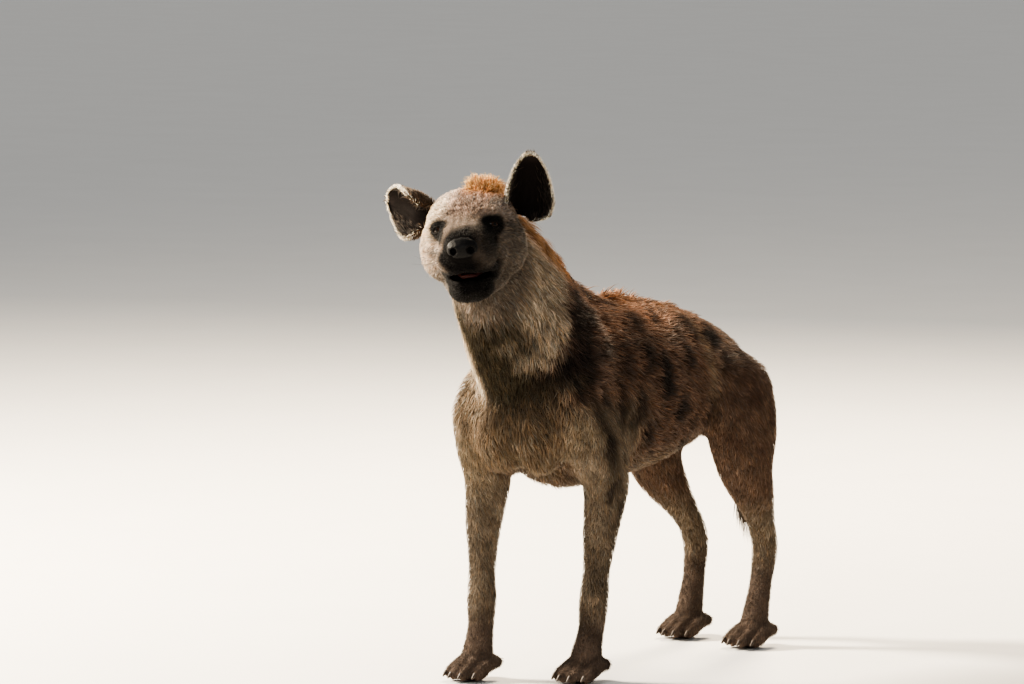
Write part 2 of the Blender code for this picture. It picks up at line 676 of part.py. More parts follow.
def piece(name, source, planes, count, locks=None):
    # The part of a skin inside the planes, in about count triangles, drawn back from each by half the gap.
    # Locks join it before the last cuts, so that none crosses a plane.
    bm = bmesh_of(source)
    for place, normal in planes:
        cut(bm, place + normal * MARGIN, normal)
    keep_largest(bm)
    bmesh.ops.triangulate(bm, faces=bm.faces[:])
    obj = thinned(object_of(bm, name), count)
    if locks:
        fused(obj, locks(obj))
    bm = bmesh_of(obj)
    for place, normal in planes:
        cut(bm, place - normal * GAP / 2, normal)
    keep_largest(bm)
    return remade(obj, bm)


def remade(obj, bm):
    bmesh.ops.triangulate(bm, faces=bm.faces[:])
    bmesh.ops.dissolve_degenerate(bm, dist=1e-6, edges=bm.edges[:])
    bm.to_mesh(obj.data)
    bm.free()
    return obj


def block(planes):
    # A convex cutter inside the planes, grown by half the gap.
    bm = bmesh.new()
    bmesh.ops.create_cube(bm, size=3)
    for place, normal in planes:
        cut(bm, place + normal * GAP / 2, normal)
    return object_of(bm, "block")


def grown(obj, by):
    # A copy of the object's mesh, each point moved out along its normal.
    bm = bmesh_of(obj)
    bm.normal_update()
    moves = [vertex.normal * vertex.calc_shell_factor() * by for vertex in bm.verts]
    for vertex, move in zip(bm.verts, moves):
        vertex.co += move
    return object_of(bm, obj.name + "_grown")


def less(obj, cutters, operation="DIFFERENCE", solver="EXACT"):
    # The object less its cutters, which go.
    for cutter in cutters:
        boolean = obj.modifiers.new("cut", "BOOLEAN")
        boolean.operation = operation
        boolean.solver = solver
        boolean.object = cutter
        applied(obj)
    for cutter in cutters:
        bpy.data.objects.remove(cutter)
    bm = bmesh_of(obj)
    keep_largest(bm)
    return remade(obj, bm)


def plane(point, normal, matrix=None):
    matrix = matrix or Matrix.Identity(4)
    return matrix @ Vector(point), (matrix.to_3x3() @ Vector(normal)).normalized()


def flipped(seam):
    return seam[0], -seam[1]


def seams():
    # Every cutting plane, by name: a point on it and the way it faces.
    head = head_matrix()
    found = {
        "head": plane(times(HEAD_SEAM["point"], HEAD_UNITS), HEAD_SEAM["normal"], head),
        "mouth": plane(times(MOUTH_SEAM["point"], HEAD_UNITS), MOUTH_SEAM["normal"], head),
        "neck": plane(times(NECK_SEAM["point"], BODY_UNITS), NECK_SEAM["normal"]),
        "floor": plane((0, 0, -GAP / 2), (0, 0, -1)),
    }
    for side, sign in SIDES.items():
        for name, spec in LEG_SEAMS.items():
            (low_x, low_z), (high_x, high_z) = spec["body"]
            low = times((low_x * sign, 0, low_z), BODY_UNITS)
            run = times((high_x * sign, 0, high_z), BODY_UNITS) - low
            inner = run.cross(Vector((0, 1, 0))) * sign
            found[f"{name}_{side}_body"] = plane(low, -inner if inner.x * sign > 0 else inner)
            (low_y, low_z), (high_y, high_z) = spec["flank"]
            low = times((0, low_y, low_z), BODY_UNITS)
            run = times((0, high_y, high_z), BODY_UNITS) - low
            across = run.cross(Vector((1, 0, 0))).normalized()
            across *= math.copysign(1, across.y) * spec["flank_faces"]
            found[f"{name}_{side}_flank"] = plane(low, across)
            found[f"{name}_{side}_foot"] = plane(times((0, 0, spec["foot"]), BODY_UNITS), (0, 0, -1))
            found[f"{name}_{side}_middle"] = plane((0, 0, 0), (-sign, 0, 0))
            half = times((0, MIDDLE_OF_BACK, 0), BODY_UNITS)
            found[f"{name}_{side}_half"] = plane(half, (0, spec["flank_faces"], 0))
    return found


def make_legs(source, planes):
    # Each leg above and below its wrist or hock, and the blocks that part the legs from the torso.
    made = {}
    blocks = []
    for name, spec in LEG_SEAMS.items():
        for side in SIDES:
            key = f"{name}_{side}"
            outer = [planes[f"{key}_body"], planes[f"{key}_flank"]]
            upper = piece(f"{name}_leg_{side}", source, [*outer, planes[f"{key}_foot"]], spec["leg_triangles"])
            lower_planes = [flipped(planes[f"{key}_foot"]), planes[f"{key}_middle"], planes[f"{key}_half"]]
            foot = f"{spec['foot_name']}_{side}"
            lower = piece(foot, source, [*lower_planes, planes["floor"]], spec["foot_triangles"])
            made[upper.name] = upper
            made[lower.name] = lower
            blocks.append(block(outer))
    return made, blocks


def make_torso(source, planes, blocks):
    place, normal = planes["neck"]
    torso = piece("torso", source, [planes["neck"]], TRIANGLES["torso"],
                  lambda obj: mane_locks(obj, lambda point: (point - place).dot(normal) < 0))
    return less(torso, blocks)


def make_neck(source, planes):
    (top, up), (bottom, down) = planes["head"], planes["neck"]
    return piece("neck", source, [flipped(planes["head"]), flipped(planes["neck"])], TRIANGLES["neck"],
                 lambda obj: mane_locks(obj, lambda point: (point - top).dot(up) > 0 <= (point - bottom).dot(down)))


def slit(sign):
    # The almond opening between the lids, cut forward from the middle of the eye.
    bm = bmesh.new()
    rings = []
    tilt = Matrix.Rotation(math.radians(EYE_SLIT["tilt"] * sign), 4, "Y")
    for depth in (0.0, -2.2 * EYE_RADIUS):
        ring = []
        for k in range(SLIT_SIDES):
            angle = 2 * math.pi * k / SLIT_SIDES
            c, s = math.cos(angle), math.sin(angle)
            x = EYE_SLIT["width"] / 2 * c
            z = EYE_SLIT["height"] / 2 * s * (1 - 0.3 * abs(c))
            ring.append(eye_matrix(sign) @ tilt @ Vector((x, depth, z)))
        rings.append(ring)
    middles = [sum(ring, Vector()) / SLIT_SIDES for ring in rings]
    add_rings(bm, rings, *middles)
    return object_of(bm, "slit")


def ball(name, sign, radius):
    bm = bmesh.new()
    u_segments, v_segments = EYE_FINENESS
    matrix = eye_matrix(sign) @ Matrix.Rotation(math.pi / 2, 4, "X")
    bmesh.ops.create_uvsphere(bm, u_segments=u_segments, v_segments=v_segments, radius=radius, matrix=matrix)
    return object_of(bm, name)


def make_nose():
    bm = bmesh.new()
    add_loft(bm, profile_rows(NOSE, HEAD_UNITS), 6, power=2.3, sides=16, place=head_matrix(), dome=0.35)
    nose = object_of(bm, "nose")
    uncut = grown(nose, SOCKET_GAP)
    cutters = []
    for sign in SIDES.values():
        for place, radii in ((NOSTRIL["place"], NOSTRIL["radii"]), NOSTRIL["slit"]):
            bm = bmesh.new()
            turn = (0, 0, NOSTRIL["turn"] * sign)
            add_mass(bm, times(mirrored(place, sign), HEAD_UNITS), times(radii, HEAD_UNITS), turn, head_matrix(), 1)
            cutters.append(object_of(bm, "nostril"))
    return less(nose, cutters), uncut


def make_head(source, planes):
    head = piece("head", source, [planes["head"], planes["mouth"]], TRIANGLES["head"], tuft_locks)
    jaw = piece("jaw", source, [planes["head"], flipped(planes["mouth"])], TRIANGLES["jaw"])
    nose, socket = make_nose()
    cutters = [socket]
    eyes = {}
    for side, sign in SIDES.items():
        cutters.append(ball("socket", sign, EYE_RADIUS + GAP))
        cutters.append(slit(sign))
        eyes[f"eye_{side}"] = ball(f"eye_{side}", sign, EYE_RADIUS)
    less(head, cutters)
    bm = bmesh.new()
    add_loft(bm, profile_rows(TONGUE, HEAD_UNITS), 5, sides=8, place=jaw_matrix(), dome=0.8)
    tongue = less(object_of(bm, "tongue"), [grown(jaw, GAP), grown(head, GAP)])
    return {"head": head, "jaw": jaw, "nose": nose, "tongue": tongue, **eyes}


def ear_matrix(side):
    # The ear's own frame: X across, Y away from where its cup faces, Z up to its tip.
    spec = EARS[side]
    up = Vector(spec["axis"]).normalized()
    facing = Vector(spec["facing"])
    back = (up * facing.dot(up) - facing).normalized()
    turn = Matrix((back.cross(up), back, up)).transposed().to_4x4()
    return head_matrix() @ Matrix.Translation(times(spec["root"], HEAD_UNITS)) @ turn


def make_ear(side, head):
    # A cupped leaf: each row across it is an arc that opens out towards the tip.
    bm = bmesh.new()
    cup = smoothed([(v, 0, 0, half, degrees) for v, half, degrees in EAR_CUP], EAR_FINENESS + 1)
    place = ear_matrix(side)
    bend = head_matrix().to_3x3() @ Vector(times(EARS[side]["bend"], HEAD_UNITS))
    inner = []
    outer = []
    for v, _, _, half, degrees in cup:
        angle = math.radians(degrees)
        radius = half * EAR_WIDTH / 2 / math.sin(min(angle, math.pi / 2))
        rows = ([], [])
        for k in range(EAR_FINENESS + 1):
            u = 2 * k / EAR_FINENESS - 1
            rim = max(abs(u), v)
            wall = EAR_THICKNESS["root"] + (EAR_THICKNESS["rim"] - EAR_THICKNESS["root"]) * rim
            way = Vector((math.sin(angle * u), math.cos(angle * u), 0))
            middle = Vector((0, -radius, v * EAR_LENGTH))
            shift = bend * (1 - min(v / EAR_BENT, 1)) ** 2
            rows[0].append(bm.verts.new(place @ (middle + way * radius) + shift))
            rows[1].append(bm.verts.new(place @ (middle + way * (radius + wall)) + shift))
        inner.append(rows[0])
        outer.append(rows[1])
    for i in range(EAR_FINENESS):
        for k in range(EAR_FINENESS):
            for sheet, turn in ((inner, 1), (outer, -1)):
                a, b, c, d = sheet[i][k], sheet[i][k + 1], sheet[i + 1][k + 1], sheet[i + 1][k]
                for corners in ((a, b, c), (a, c, d)):
                    bm.faces.new(corners[::turn])
    border = [(0, k) for k in range(EAR_FINENESS)] + [(i, EAR_FINENESS) for i in range(EAR_FINENESS)]
    border += [(EAR_FINENESS, k) for k in range(EAR_FINENESS, 0, -1)] + [(i, 0) for i in range(EAR_FINENESS, 0, -1)]
    for (i, k), (m, n) in zip(border, border[1:] + border[:1]):
        bm.faces.new((inner[i][k], outer[i][k], outer[m][n], inner[m][n]))
    bmesh.ops.recalc_face_normals(bm, faces=bm.faces[:])
    return less(object_of(bm, f"ear_{side}"), [grown(head, SOCKET_GAP)])


def make_claws(feet):
    made = {}
    for foot, side, paths in (("fore", "left", FORE_PATHS), ("fore", "right", FORE_PATHS),
                              ("hind", "left", HIND_PATHS), ("hind", "right", HIND_PATHS)):
        sign = SIDES[side]
        root = paths[side][-1]
        paw = feet[f"{LEG_SEAMS[foot]['foot_name']}_{side}"]
        for number, (out, back) in enumerate(TOE_PLACES, 1):
            spread, forward = TOE[-1][:2]
            start = Vector((root[0] + out * spread, root[1] + back + forward, 0))
            bm = bmesh.new()
            rings = []
            for ahead, up, size in CLAW:
                middle = times(mirrored(start + Vector((0, -ahead, up)), sign), BODY_UNITS)
                along = Vector((0, -1, -0.35)).normalized()
                sizes = (size * 0.8 * WIDE, size * HIGH, size * HIGH)
                rings.append(ring_points(middle, along, Vector((1, 0, 0)), sizes, 2.0, CLAW_SIDES))
            ends = [sum(ring, Vector()) / CLAW_SIDES for ring in (rings[0], rings[-1])]
            add_rings(bm, rings, *ends)
            name = f"claw_{foot}_{side}_{number}"
            made[name] = less(object_of(bm, name), [grown(paw, GAP)])
    return made


def make_tail(torso):
    bm = bmesh.new()
    add_loft(bm, path_rows(TAIL), 12, sides=10)
    tail = fused(object_of(bm, "tail"), brush_locks())
    return less(tail, [grown(torso, GAP)])


def finish(obj):
    # Its own material, from the finish of the part of the body that it belongs to.
    kind = next(kind for kind, names in WEARS.items() if obj.name.startswith(names))
    colour, roughness = FINISHES[kind]
    material = bpy.data.materials.new(obj.name)
    material.use_nodes = True
    shader = material.node_tree.nodes["Principled BSDF"]
    shader.inputs["Base Color"].default_value = (*colour, 1)
    shader.inputs["Roughness"].default_value = roughness
    shader.inputs["Metallic"].default_value = 0
    obj.data.materials.clear()
    obj.data.materials.append(material)
    obj.data.shade_smooth()
    obj.data.set_sharp_from_angle(angle=math.radians(50))


def set_on_origin(objects):
    # Moves all the pieces together, so that the zero lies under the middle of the box round them.
    points = np.array([vertex.co for obj in objects for vertex in obj.data.vertices])
    low, high = points.min(axis=0), points.max(axis=0)
    for obj in objects:
        obj.location = (-(low[0] + high[0]) / 2, -(low[1] + high[1]) / 2, -low[2])


def main():
    for old in list(bpy.data.objects):
        bpy.data.objects.remove(old)
    planes = seams()
    body = skin("body", (add_trunk, add_head, add_legs))
    face = skin("head", (add_trunk, add_head))
    nodes, blocks = make_legs(body, planes)
    nodes["torso"] = make_torso(body, planes, blocks)
    nodes["neck"] = make_neck(body, planes)
    nodes.update(make_head(face, planes))
    for side in SIDES:
        nodes[f"ear_{side}"] = make_ear(side, nodes["head"])
    nodes["tail"] = make_tail(nodes["torso"])
    nodes.update(make_claws(nodes))
    for skinned in (body, face):
        bpy.data.objects.remove(skinned)
    for obj in nodes.values():
        finish(obj)
    set_on_origin(nodes.values())


main()
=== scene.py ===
import math
from contextlib import contextmanager

import bmesh
import bpy
import numpy as np
import openvdb
from mathutils import Matrix, Vector
from mathutils.bvhtree import BVHTree
from mathutils.kdtree import KDTree


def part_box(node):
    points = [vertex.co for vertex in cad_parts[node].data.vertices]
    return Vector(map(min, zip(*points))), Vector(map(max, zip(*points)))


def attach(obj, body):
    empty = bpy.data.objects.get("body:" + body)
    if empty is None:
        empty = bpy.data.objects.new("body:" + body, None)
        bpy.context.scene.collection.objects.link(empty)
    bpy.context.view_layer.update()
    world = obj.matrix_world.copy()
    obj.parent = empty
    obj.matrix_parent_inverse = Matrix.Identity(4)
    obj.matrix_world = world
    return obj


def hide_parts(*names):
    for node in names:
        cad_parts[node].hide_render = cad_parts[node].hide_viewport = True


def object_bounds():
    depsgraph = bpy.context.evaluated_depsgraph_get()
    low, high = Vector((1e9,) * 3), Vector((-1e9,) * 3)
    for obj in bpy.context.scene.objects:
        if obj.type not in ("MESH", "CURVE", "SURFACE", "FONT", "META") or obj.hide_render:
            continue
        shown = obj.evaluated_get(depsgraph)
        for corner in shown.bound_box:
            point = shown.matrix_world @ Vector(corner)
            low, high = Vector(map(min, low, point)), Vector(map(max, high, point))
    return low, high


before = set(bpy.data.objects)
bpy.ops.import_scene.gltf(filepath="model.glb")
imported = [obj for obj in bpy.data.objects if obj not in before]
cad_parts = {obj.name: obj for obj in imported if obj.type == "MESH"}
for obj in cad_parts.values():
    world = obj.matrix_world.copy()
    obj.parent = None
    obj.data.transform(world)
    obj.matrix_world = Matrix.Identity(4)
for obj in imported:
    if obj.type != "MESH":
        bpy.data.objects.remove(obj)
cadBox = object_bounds()

# Where the animal lies in the frame. Body and head have their own centimetres: in both, -Y is ahead and
# +X is the animal's left. The head's zero is between the ears, the body's is on the floor under the withers.
place = {
    "headLength": 0.272,
    "pitch": -0.5,
    "roll": -6.5,
    "yaw": 30.0,
    "eye": (4.35, -10.0, 1.8),
    "headZero": (3.4, -31.0, 87.0),
    "headAbove": 62.0,       # the whole head is higher than this over the floor
}
headUnit = place["headLength"] / 25.5
bodyUnit = 0.01
eyeX, eyeY, eyeZ = place["eye"]
headTurn = Matrix.Identity(3)
for angle, axis in (("yaw", "Z"), ("pitch", "X"), ("roll", "Y")):
    headTurn @= Matrix.Rotation(math.radians(place[angle]), 3, axis)
turnRows = np.array(headTurn)
sides = {"left": 1, "right": -1}


def middleOf(node):
    low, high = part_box(node)
    return (low + high) / 2


headZero = middleOf("eye_left") - headTurn @ (Vector(place["eye"]) * headUnit)
bodyZero = headZero - Vector(place["headZero"]) * bodyUnit


def headPoint(x, y, z):
    return headZero + headTurn @ (Vector((x, y, z)) * headUnit)


def bodyPoint(x, y, z):
    return bodyZero + Vector((x, y, z)) * bodyUnit


def headCoords(points):
    return (points - np.array(headZero)) @ turnRows / headUnit


def bodyCoords(points):
    return (points - np.array(bodyZero)) / bodyUnit


def ramp(values, start, end):
    # 0 at start and 1 at end, eased at both.
    t = np.clip((values - start) / (end - start), 0, 1)
    return t * t * (3 - 2 * t)


def unitRows(rows):
    return rows / np.maximum(np.linalg.norm(rows, axis=1, keepdims=True), 1e-9)


def laidFlat(ways, normals):
    # The part of each way that runs along the surface.
    return unitRows(ways - normals * np.sum(ways * normals, axis=1, keepdims=True))


def wobble(points, size, seed):
    # A smooth random value between about -1 and 1, with waves about size long.
    draw = np.random.default_rng(seed)
    total = np.zeros(len(points))
    for _ in range(7):
        way = unitRows(draw.normal(size=(1, 3)))[0]
        wave = 2 * math.pi / (size * draw.uniform(0.7, 1.5))
        total += np.sin(points @ way * wave + draw.uniform(0, 2 * math.pi))
    return total / 3.0


def blob(points, centre, radii):
    # 1 in the middle of an oval, 0 past its edge.
    distance = np.linalg.norm((points - np.array(centre)) / np.array(radii), axis=1)
    return ramp(distance, 1.15, 0.55)


def newObject(name, points, faces):
    mesh = bpy.data.meshes.new(name)
    count, corners = faces.shape
    mesh.vertices.add(len(points))
    mesh.vertices.foreach_set("co", points.astype(np.float32).ravel())
    mesh.loops.add(count * corners)
    mesh.loops.foreach_set("vertex_index", faces.astype(np.int32).ravel())
    mesh.polygons.add(count)
    mesh.polygons.foreach_set("loop_start", np.arange(0, count * corners, corners, dtype=np.int32))
    mesh.update(calc_edges=True)
    obj = bpy.data.objects.new(name, mesh)
    bpy.context.scene.collection.objects.link(obj)
    return obj


def setPoints(mesh, points):
    mesh.vertices.foreach_set("co", points.astype(np.float32).ravel())
    mesh.update()


def readRows(items, name, width=3):
    rows = np.empty(len(items) * width, np.float32)
    items.foreach_get(name, rows)
    return rows.reshape(-1, width).astype(float)


def pointsOf(mesh):
    return readRows(mesh.vertices, "co")


def normalsOf(mesh):
    return readRows(mesh.vertex_normals, "vector")


def trianglesOf(mesh):
    mesh.calc_loop_triangles()
    faces = np.empty(len(mesh.loop_triangles) * 3, np.int32)
    mesh.loop_triangles.foreach_get("vertices", faces)
    return faces.reshape(-1, 3)


def applied(obj):
    graph = bpy.context.evaluated_depsgraph_get()
    mesh = bpy.data.meshes.new_from_object(obj.evaluated_get(graph))
    obj.modifiers.clear()
    obj.data = mesh
    return obj


@contextmanager
def edited(mesh):
    # The mesh as a bmesh, which is written back at the end.
    bm = bmesh.new()
    bm.from_mesh(mesh)
    yield bm
    bm.to_mesh(mesh)
    bm.free()


def gridFaces(rows, columns, wraps=False):
    # Faces between rows of points. Where they wrap, the last column meets the first.
    wide = columns if wraps else columns + 1
    return [(i * wide + k, i * wide + (k + 1) % wide, (i + 1) * wide + (k + 1) % wide, (i + 1) * wide + k)
            for i in range(rows) for k in range(columns)]


def storeColour(mesh, name, values):
    layer = mesh.attributes.new(name, "FLOAT_COLOR", "POINT")
    rows = np.concatenate([values, np.ones((len(values), 1))], axis=1)
    layer.data.foreach_set("color", rows.astype(np.float32).ravel())


# The flesh: one skin over the solids of the body.
fleshDims = {
    "grow": 0.0006,          # each solid swells by this, so that neighbours join
    "bodyStep": 0.004,       # grid of the whole body
    "headStep": 0.0016,      # grid of the head
    "skinStep": 0.0060,      # size of the skin's faces before they are made finer
    "opening": 0.0056,       # whatever is thinner than twice this goes: the solids' locks
    "band": 5.0,             # grid cells on each side of the surface that hold a distance
    "headBack": 4.0,         # the head's own fine grid is read ahead of this
    "crown": (-1.0, 5.0),    # behind and above this stands the tuft on the crown
    "tail": (61.5, 8.0, 20.0),   # behind, to each side and above
    "limbsBelow": 45.0,
    "nearFace": -3.5,        # the face's finer mesh lies ahead of this
    "pawsBelow": 5.5,
    "soleBelow": 0.006,      # in metres
    "floor": 0.0002,         # no skin lies lower than this
}
fleshStarts = ("head", "jaw", "neck", "torso", "fore_", "hind_", "tail")
fleshNodes = [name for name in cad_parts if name.startswith(fleshStarts)]


class Volume:
    # Distances on a grid, negative inside, read at any point.
    def __init__(self, grid, step):
        low, high = grid.evalActiveVoxelBoundingBox()
        low = [v - 2 for v in low]
        self.values = np.zeros([h - l + 3 for l, h in zip(low, high)], np.float32)
        grid.copyToArray(self.values, ijk=tuple(low))
        self.corner = np.array(low) * step
        self.step = step

    def at(self, points):
        cells = np.clip((points - self.corner) / self.step, 0, np.array(self.values.shape) - 1.001)
        low = cells.astype(int)
        part = cells - low
        total = np.zeros(len(points))
        for corner in np.ndindex(2, 2, 2):
            share = np.prod(np.where(corner, part, 1 - part), axis=1)
            total += share * self.values[tuple((low + corner).T)]
        return total


def slopeOf(field, points, reach):
    rows = []
    for axis in range(3):
        step = np.zeros(3)
        step[axis] = reach
        rows.append(field(points + step) - field(points - step))
    return unitRows(np.array(rows).T)


def levelSet(points, step, **faces):
    return openvdb.FloatGrid.createLevelSetFromPolygons(
        points, transform=openvdb.createLinearTransform(voxelSize=step), halfWidth=fleshDims["band"], **faces)


def joinedNodes(names, step):
    # Copies of the solids, merged, swollen a little and run together.
    mesh = bpy.data.meshes.new("joined")
    with edited(mesh) as bm:
        for name in names:
            bm.from_mesh(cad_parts[name].data)
        bmesh.ops.remove_doubles(bm, verts=bm.verts[:], dist=1e-6)
        bmesh.ops.recalc_face_normals(bm, faces=bm.faces[:])
        bm.normal_update()
        for vertex in bm.verts:
            vertex.co += vertex.normal * fleshDims["grow"]
    obj = bpy.data.objects.new("joined", mesh)
    bpy.context.scene.collection.objects.link(obj)
    remesh = obj.modifiers.new("run together", "REMESH")
    remesh.mode = "VOXEL"
    remesh.voxel_size = step
    applied(obj)
    points, triangles = pointsOf(obj.data).astype(np.float32), trianglesOf(obj.data)
    bpy.data.objects.remove(obj)
    return points, triangles


def bodyGrids():
    step = fleshDims["bodyStep"]
    points, triangles = joinedNodes(fleshNodes, step * 0.75)
    whole = levelSet(points, step, triangles=triangles)
    core, _, quads = whole.convertToPolygons(isovalue=-fleshDims["opening"])
    bare = levelSet(core, step, quads=quads)
    return Volume(whole, step), Volume(bare, step)


wholeField, coreField = bodyGrids()
headStep = fleshDims["headStep"]
headPoints, headTriangles = joinedNodes(["head", "jaw", "neck", "nose"], headStep)
headField = Volume(levelSet(headPoints, headStep, triangles=headTriangles), headStep)
print("distance fields of body and head made")


eyeDims = {
    "radius": 0.0135,
    "aside": 38.0,           # degrees that an eye looks out to the side
    "up": 6.0,
    "slitWidth": 0.021,
    "slitHeight": 0.0092,
    "slitTilt": 14.0,
    "iris": 0.0072,
    "pupil": 0.0030,
    "bulge": 0.0006,
    "room": 0.0008,          # between the eyeball and the skin
    "rings": 44,
    "around": 64,
    "pupilColour": (0.002, 0.002, 0.002),
    "irisColour": (0.014, 0.006, 0.0025),
    "rimColour": (0.006, 0.004, 0.0035),
    "bare": (0.0122, 0.0064),    # half width and half height of the slit in the coat
    "sink": 0.0065,              # how far the skin drops back behind the lids
}


def eyePlace(side):
    # An eye's middle and its own frame, in which it looks along -Y.
    sign = sides[side]
    turn = headTurn @ Matrix.Rotation(math.radians(eyeDims["aside"] * sign), 3, "Z")
    turn = turn @ Matrix.Rotation(-math.radians(eyeDims["up"]), 3, "X")
    return np.array(headPoint(eyeX * sign, eyeY, eyeZ)), np.array(turn)


def flesh(points):
    # Distance to the flesh, without the solids' locks, and with the eyes' sockets filled.
    _, faceY, faceZ = headCoords(points).T
    x, y, z = bodyCoords(points).T
    onHead = (faceY < fleshDims["headBack"]) & (z > place["headAbove"])
    crown = (faceY > fleshDims["crown"][0]) & (faceZ > fleshDims["crown"][1])
    behind, aside, above = fleshDims["tail"]
    tail = (y > behind) & (np.abs(x) < aside) & (z > above)
    limb = (z < fleshDims["limbsBelow"]) & ~tail
    face = headField.at(points)
    for side in sides:
        centre, _ = eyePlace(side)
        eyeball = np.linalg.norm(points - centre, axis=1) - eyeDims["radius"] - eyeDims["room"]
        face = np.minimum(face, eyeball)
    bare = coreField.at(points) - fleshDims["opening"]
    return np.where(onHead & ~crown, face, np.where(limb, wholeField.at(points), bare))


def firstSkin():
    # The skin on an even grid.
    step = fleshDims["skinStep"]
    low = np.floor(np.array(cadBox[0]) / step).astype(int) - 3
    high = np.ceil(np.array(cadBox[1]) / step).astype(int) + 3
    shape = high - low
    values = np.empty(shape, np.float32)
    ys, zs = np.meshgrid(np.arange(low[1], high[1]), np.arange(low[2], high[2]), indexing="ij")
    for i in range(shape[0]):
        slab = np.stack([np.full(ys.size, low[0] + i), ys.ravel(), zs.ravel()], axis=1) * step
        values[i] = flesh(slab).reshape(shape[1:])
    grid = openvdb.FloatGrid(float(values.max()))
    grid.transform = openvdb.createLinearTransform(voxelSize=step)
    grid.copyFromArray(values, ijk=tuple(int(v) for v in low))
    points, _, quads = grid.convertToPolygons(isovalue=0.0)
    return newObject("skin", points, quads)


def keepMainShell(bm):
    # Only the shell with the most points stays.
    left = set(bm.verts)
    shells = []
    while left:
        seed = left.pop()
        shell = [seed]
        for vertex in shell:
            for edge in vertex.link_edges:
                other = edge.other_vert(vertex)
                if other in left:
                    left.remove(other)
                    shell.append(other)
        shells.append(shell)
    for shell in sorted(shells, key=len)[:-1]:
        bmesh.ops.delete(bm, geom=shell, context="VERTS")


def madeFiner(bm, wanted):
    # Halves the edges of the faces whose middles are wanted.
    centres = np.array([face.calc_center_median() for face in bm.faces])
    chosen = [face for face, want in zip(bm.faces, wanted(centres)) if want]
    edges = {edge for face in chosen for edge in face.edges}
    bmesh.ops.subdivide_edges(bm, edges=list(edges), cuts=1, use_grid_fill=True)


def faceAndPaws(points):
    faceY, z = headCoords(points)[:, 1], bodyCoords(points)[:, 2]
    return ((faceY < fleshDims["nearFace"]) & (z > place["headAbove"])) | (z < fleshDims["pawsBelow"])


def eyesAndMouth(points):
    head = headCoords(points)
    wanted = (head[:, 1] < -7) & (np.abs(head[:, 2] + 6.0) < 1.6)
    for sign in sides.values():
        wanted |= np.linalg.norm(head - np.array((eyeX * sign, eyeY - 0.6, eyeZ)), axis=1) < 2.4
    return wanted & (head[:, 1] < fleshDims["nearFace"])


# What the flesh has that the solids leave out, in the head's centimetres.
formDims = {
    # place, size and height of each form
    "forms": {
        "brow": ((3.5, -8.9, 4.1), (3.0, 1.7, 1.2), 0.42),
        "browInner": ((1.7, -10.2, 3.4), (1.4, 1.8, 1.0), 0.22),
        "tearLine": ((3.1, -12.0, 0.5), (0.9, 2.4, 0.9), -0.30),
        "underEye": ((5.0, -10.6, -0.5), (2.0, 2.0, 0.9), -0.26),
        "cheekBone": ((6.0, -7.6, -0.6), (2.0, 3.2, 1.6), 0.30),
        "whiskerPad": ((3.2, -16.4, -3.0), (2.2, 2.6, 1.7), 0.34),
        "noseSide": ((3.3, -17.2, -0.6), (1.0, 1.4, 1.4), -0.26),
        "lipCorner": ((4.9, -8.2, -4.6), (1.3, 1.6, 1.2), 0.28),
        "chinPad": ((1.2, -15.8, -7.4), (1.8, 1.8, 1.2), 0.20),
        "foreheadGroove": ((0.0, -7.0, 6.4), (0.8, 4.5, 2.4), -0.20),
    },
    "wrinkles": 0.085,        # height of the fine folds on the nose's bridge and sides
    "wrinkleStep": 0.80,
    "wrinklesAt": ((0, -14.6, 1.0), (4.6, 3.4, 3.0)),
}


def shapeFace(points):
    # Brows, whisker pads and hollows, and the folds beside the nose.
    head = headCoords(points)
    near = (head[:, 1] < 0) & (bodyCoords(points)[:, 2] > place["headAbove"])
    rise = np.zeros(len(points))
    for (x, y, z), radii, height in formDims["forms"].values():
        for sign in sides.values():
            share = blob(head, (x * sign, y, z), radii) * height
            rise += share / (2 if x == 0 else 1)
    run = head[:, 1] * 0.8 + head[:, 2] * 0.6 + 0.35 * np.abs(head[:, 0])
    folds = np.sin(run * 2 * math.pi / formDims["wrinkleStep"])
    where = blob(head, *formDims["wrinklesAt"]) * ramp(np.abs(head[:, 0]), 0.4, 2.0)
    rise += formDims["wrinkles"] * folds * where * (0.7 + 0.5 * wobble(points, 0.03, 2))
    rise = rise * near * headUnit
    return points + slopeOf(flesh, points, 0.002) * rise[:, None]


def makeSkin():
    skin = firstSkin()
    with edited(skin.data) as bm:
        keepMainShell(bm)
        madeFiner(bm, faceAndPaws)
        madeFiner(bm, eyesAndMouth)
        bmesh.ops.triangulate(bm, faces=bm.faces[:])
        bmesh.ops.recalc_face_normals(bm, faces=bm.faces[:])
    points = pointsOf(skin.data)
    for _ in range(3):
        points -= slopeOf(flesh, points, 0.001) * flesh(points)[:, None]
    setPoints(skin.data, shapeFace(points))
    return skin


skin = makeSkin()
skinPoints = pointsOf(skin.data)
skinTriangles = trianglesOf(skin.data)
skinPairs = np.concatenate([skinTriangles[:, [a, b]] for a, b in ((0, 1), (1, 2), (2, 0))])
skinEdges = np.unique(np.sort(skinPairs, axis=1), axis=0)
print("skin", len(skinPoints), "points", len(skinTriangles), "triangles")


# Zones of the coat, from the solid that lies nearest, run into one another over a few centimetres.
zoneStarts = {
    "face": ("head", "jaw"),
    "neck": ("neck",),
    "torso": ("torso",),
    "leg": ("fore_leg", "hind_leg"),
    "paw": ("fore_paw", "hind_foot"),
    "tail": ("tail",),
}
zoneNames = list(zoneStarts)


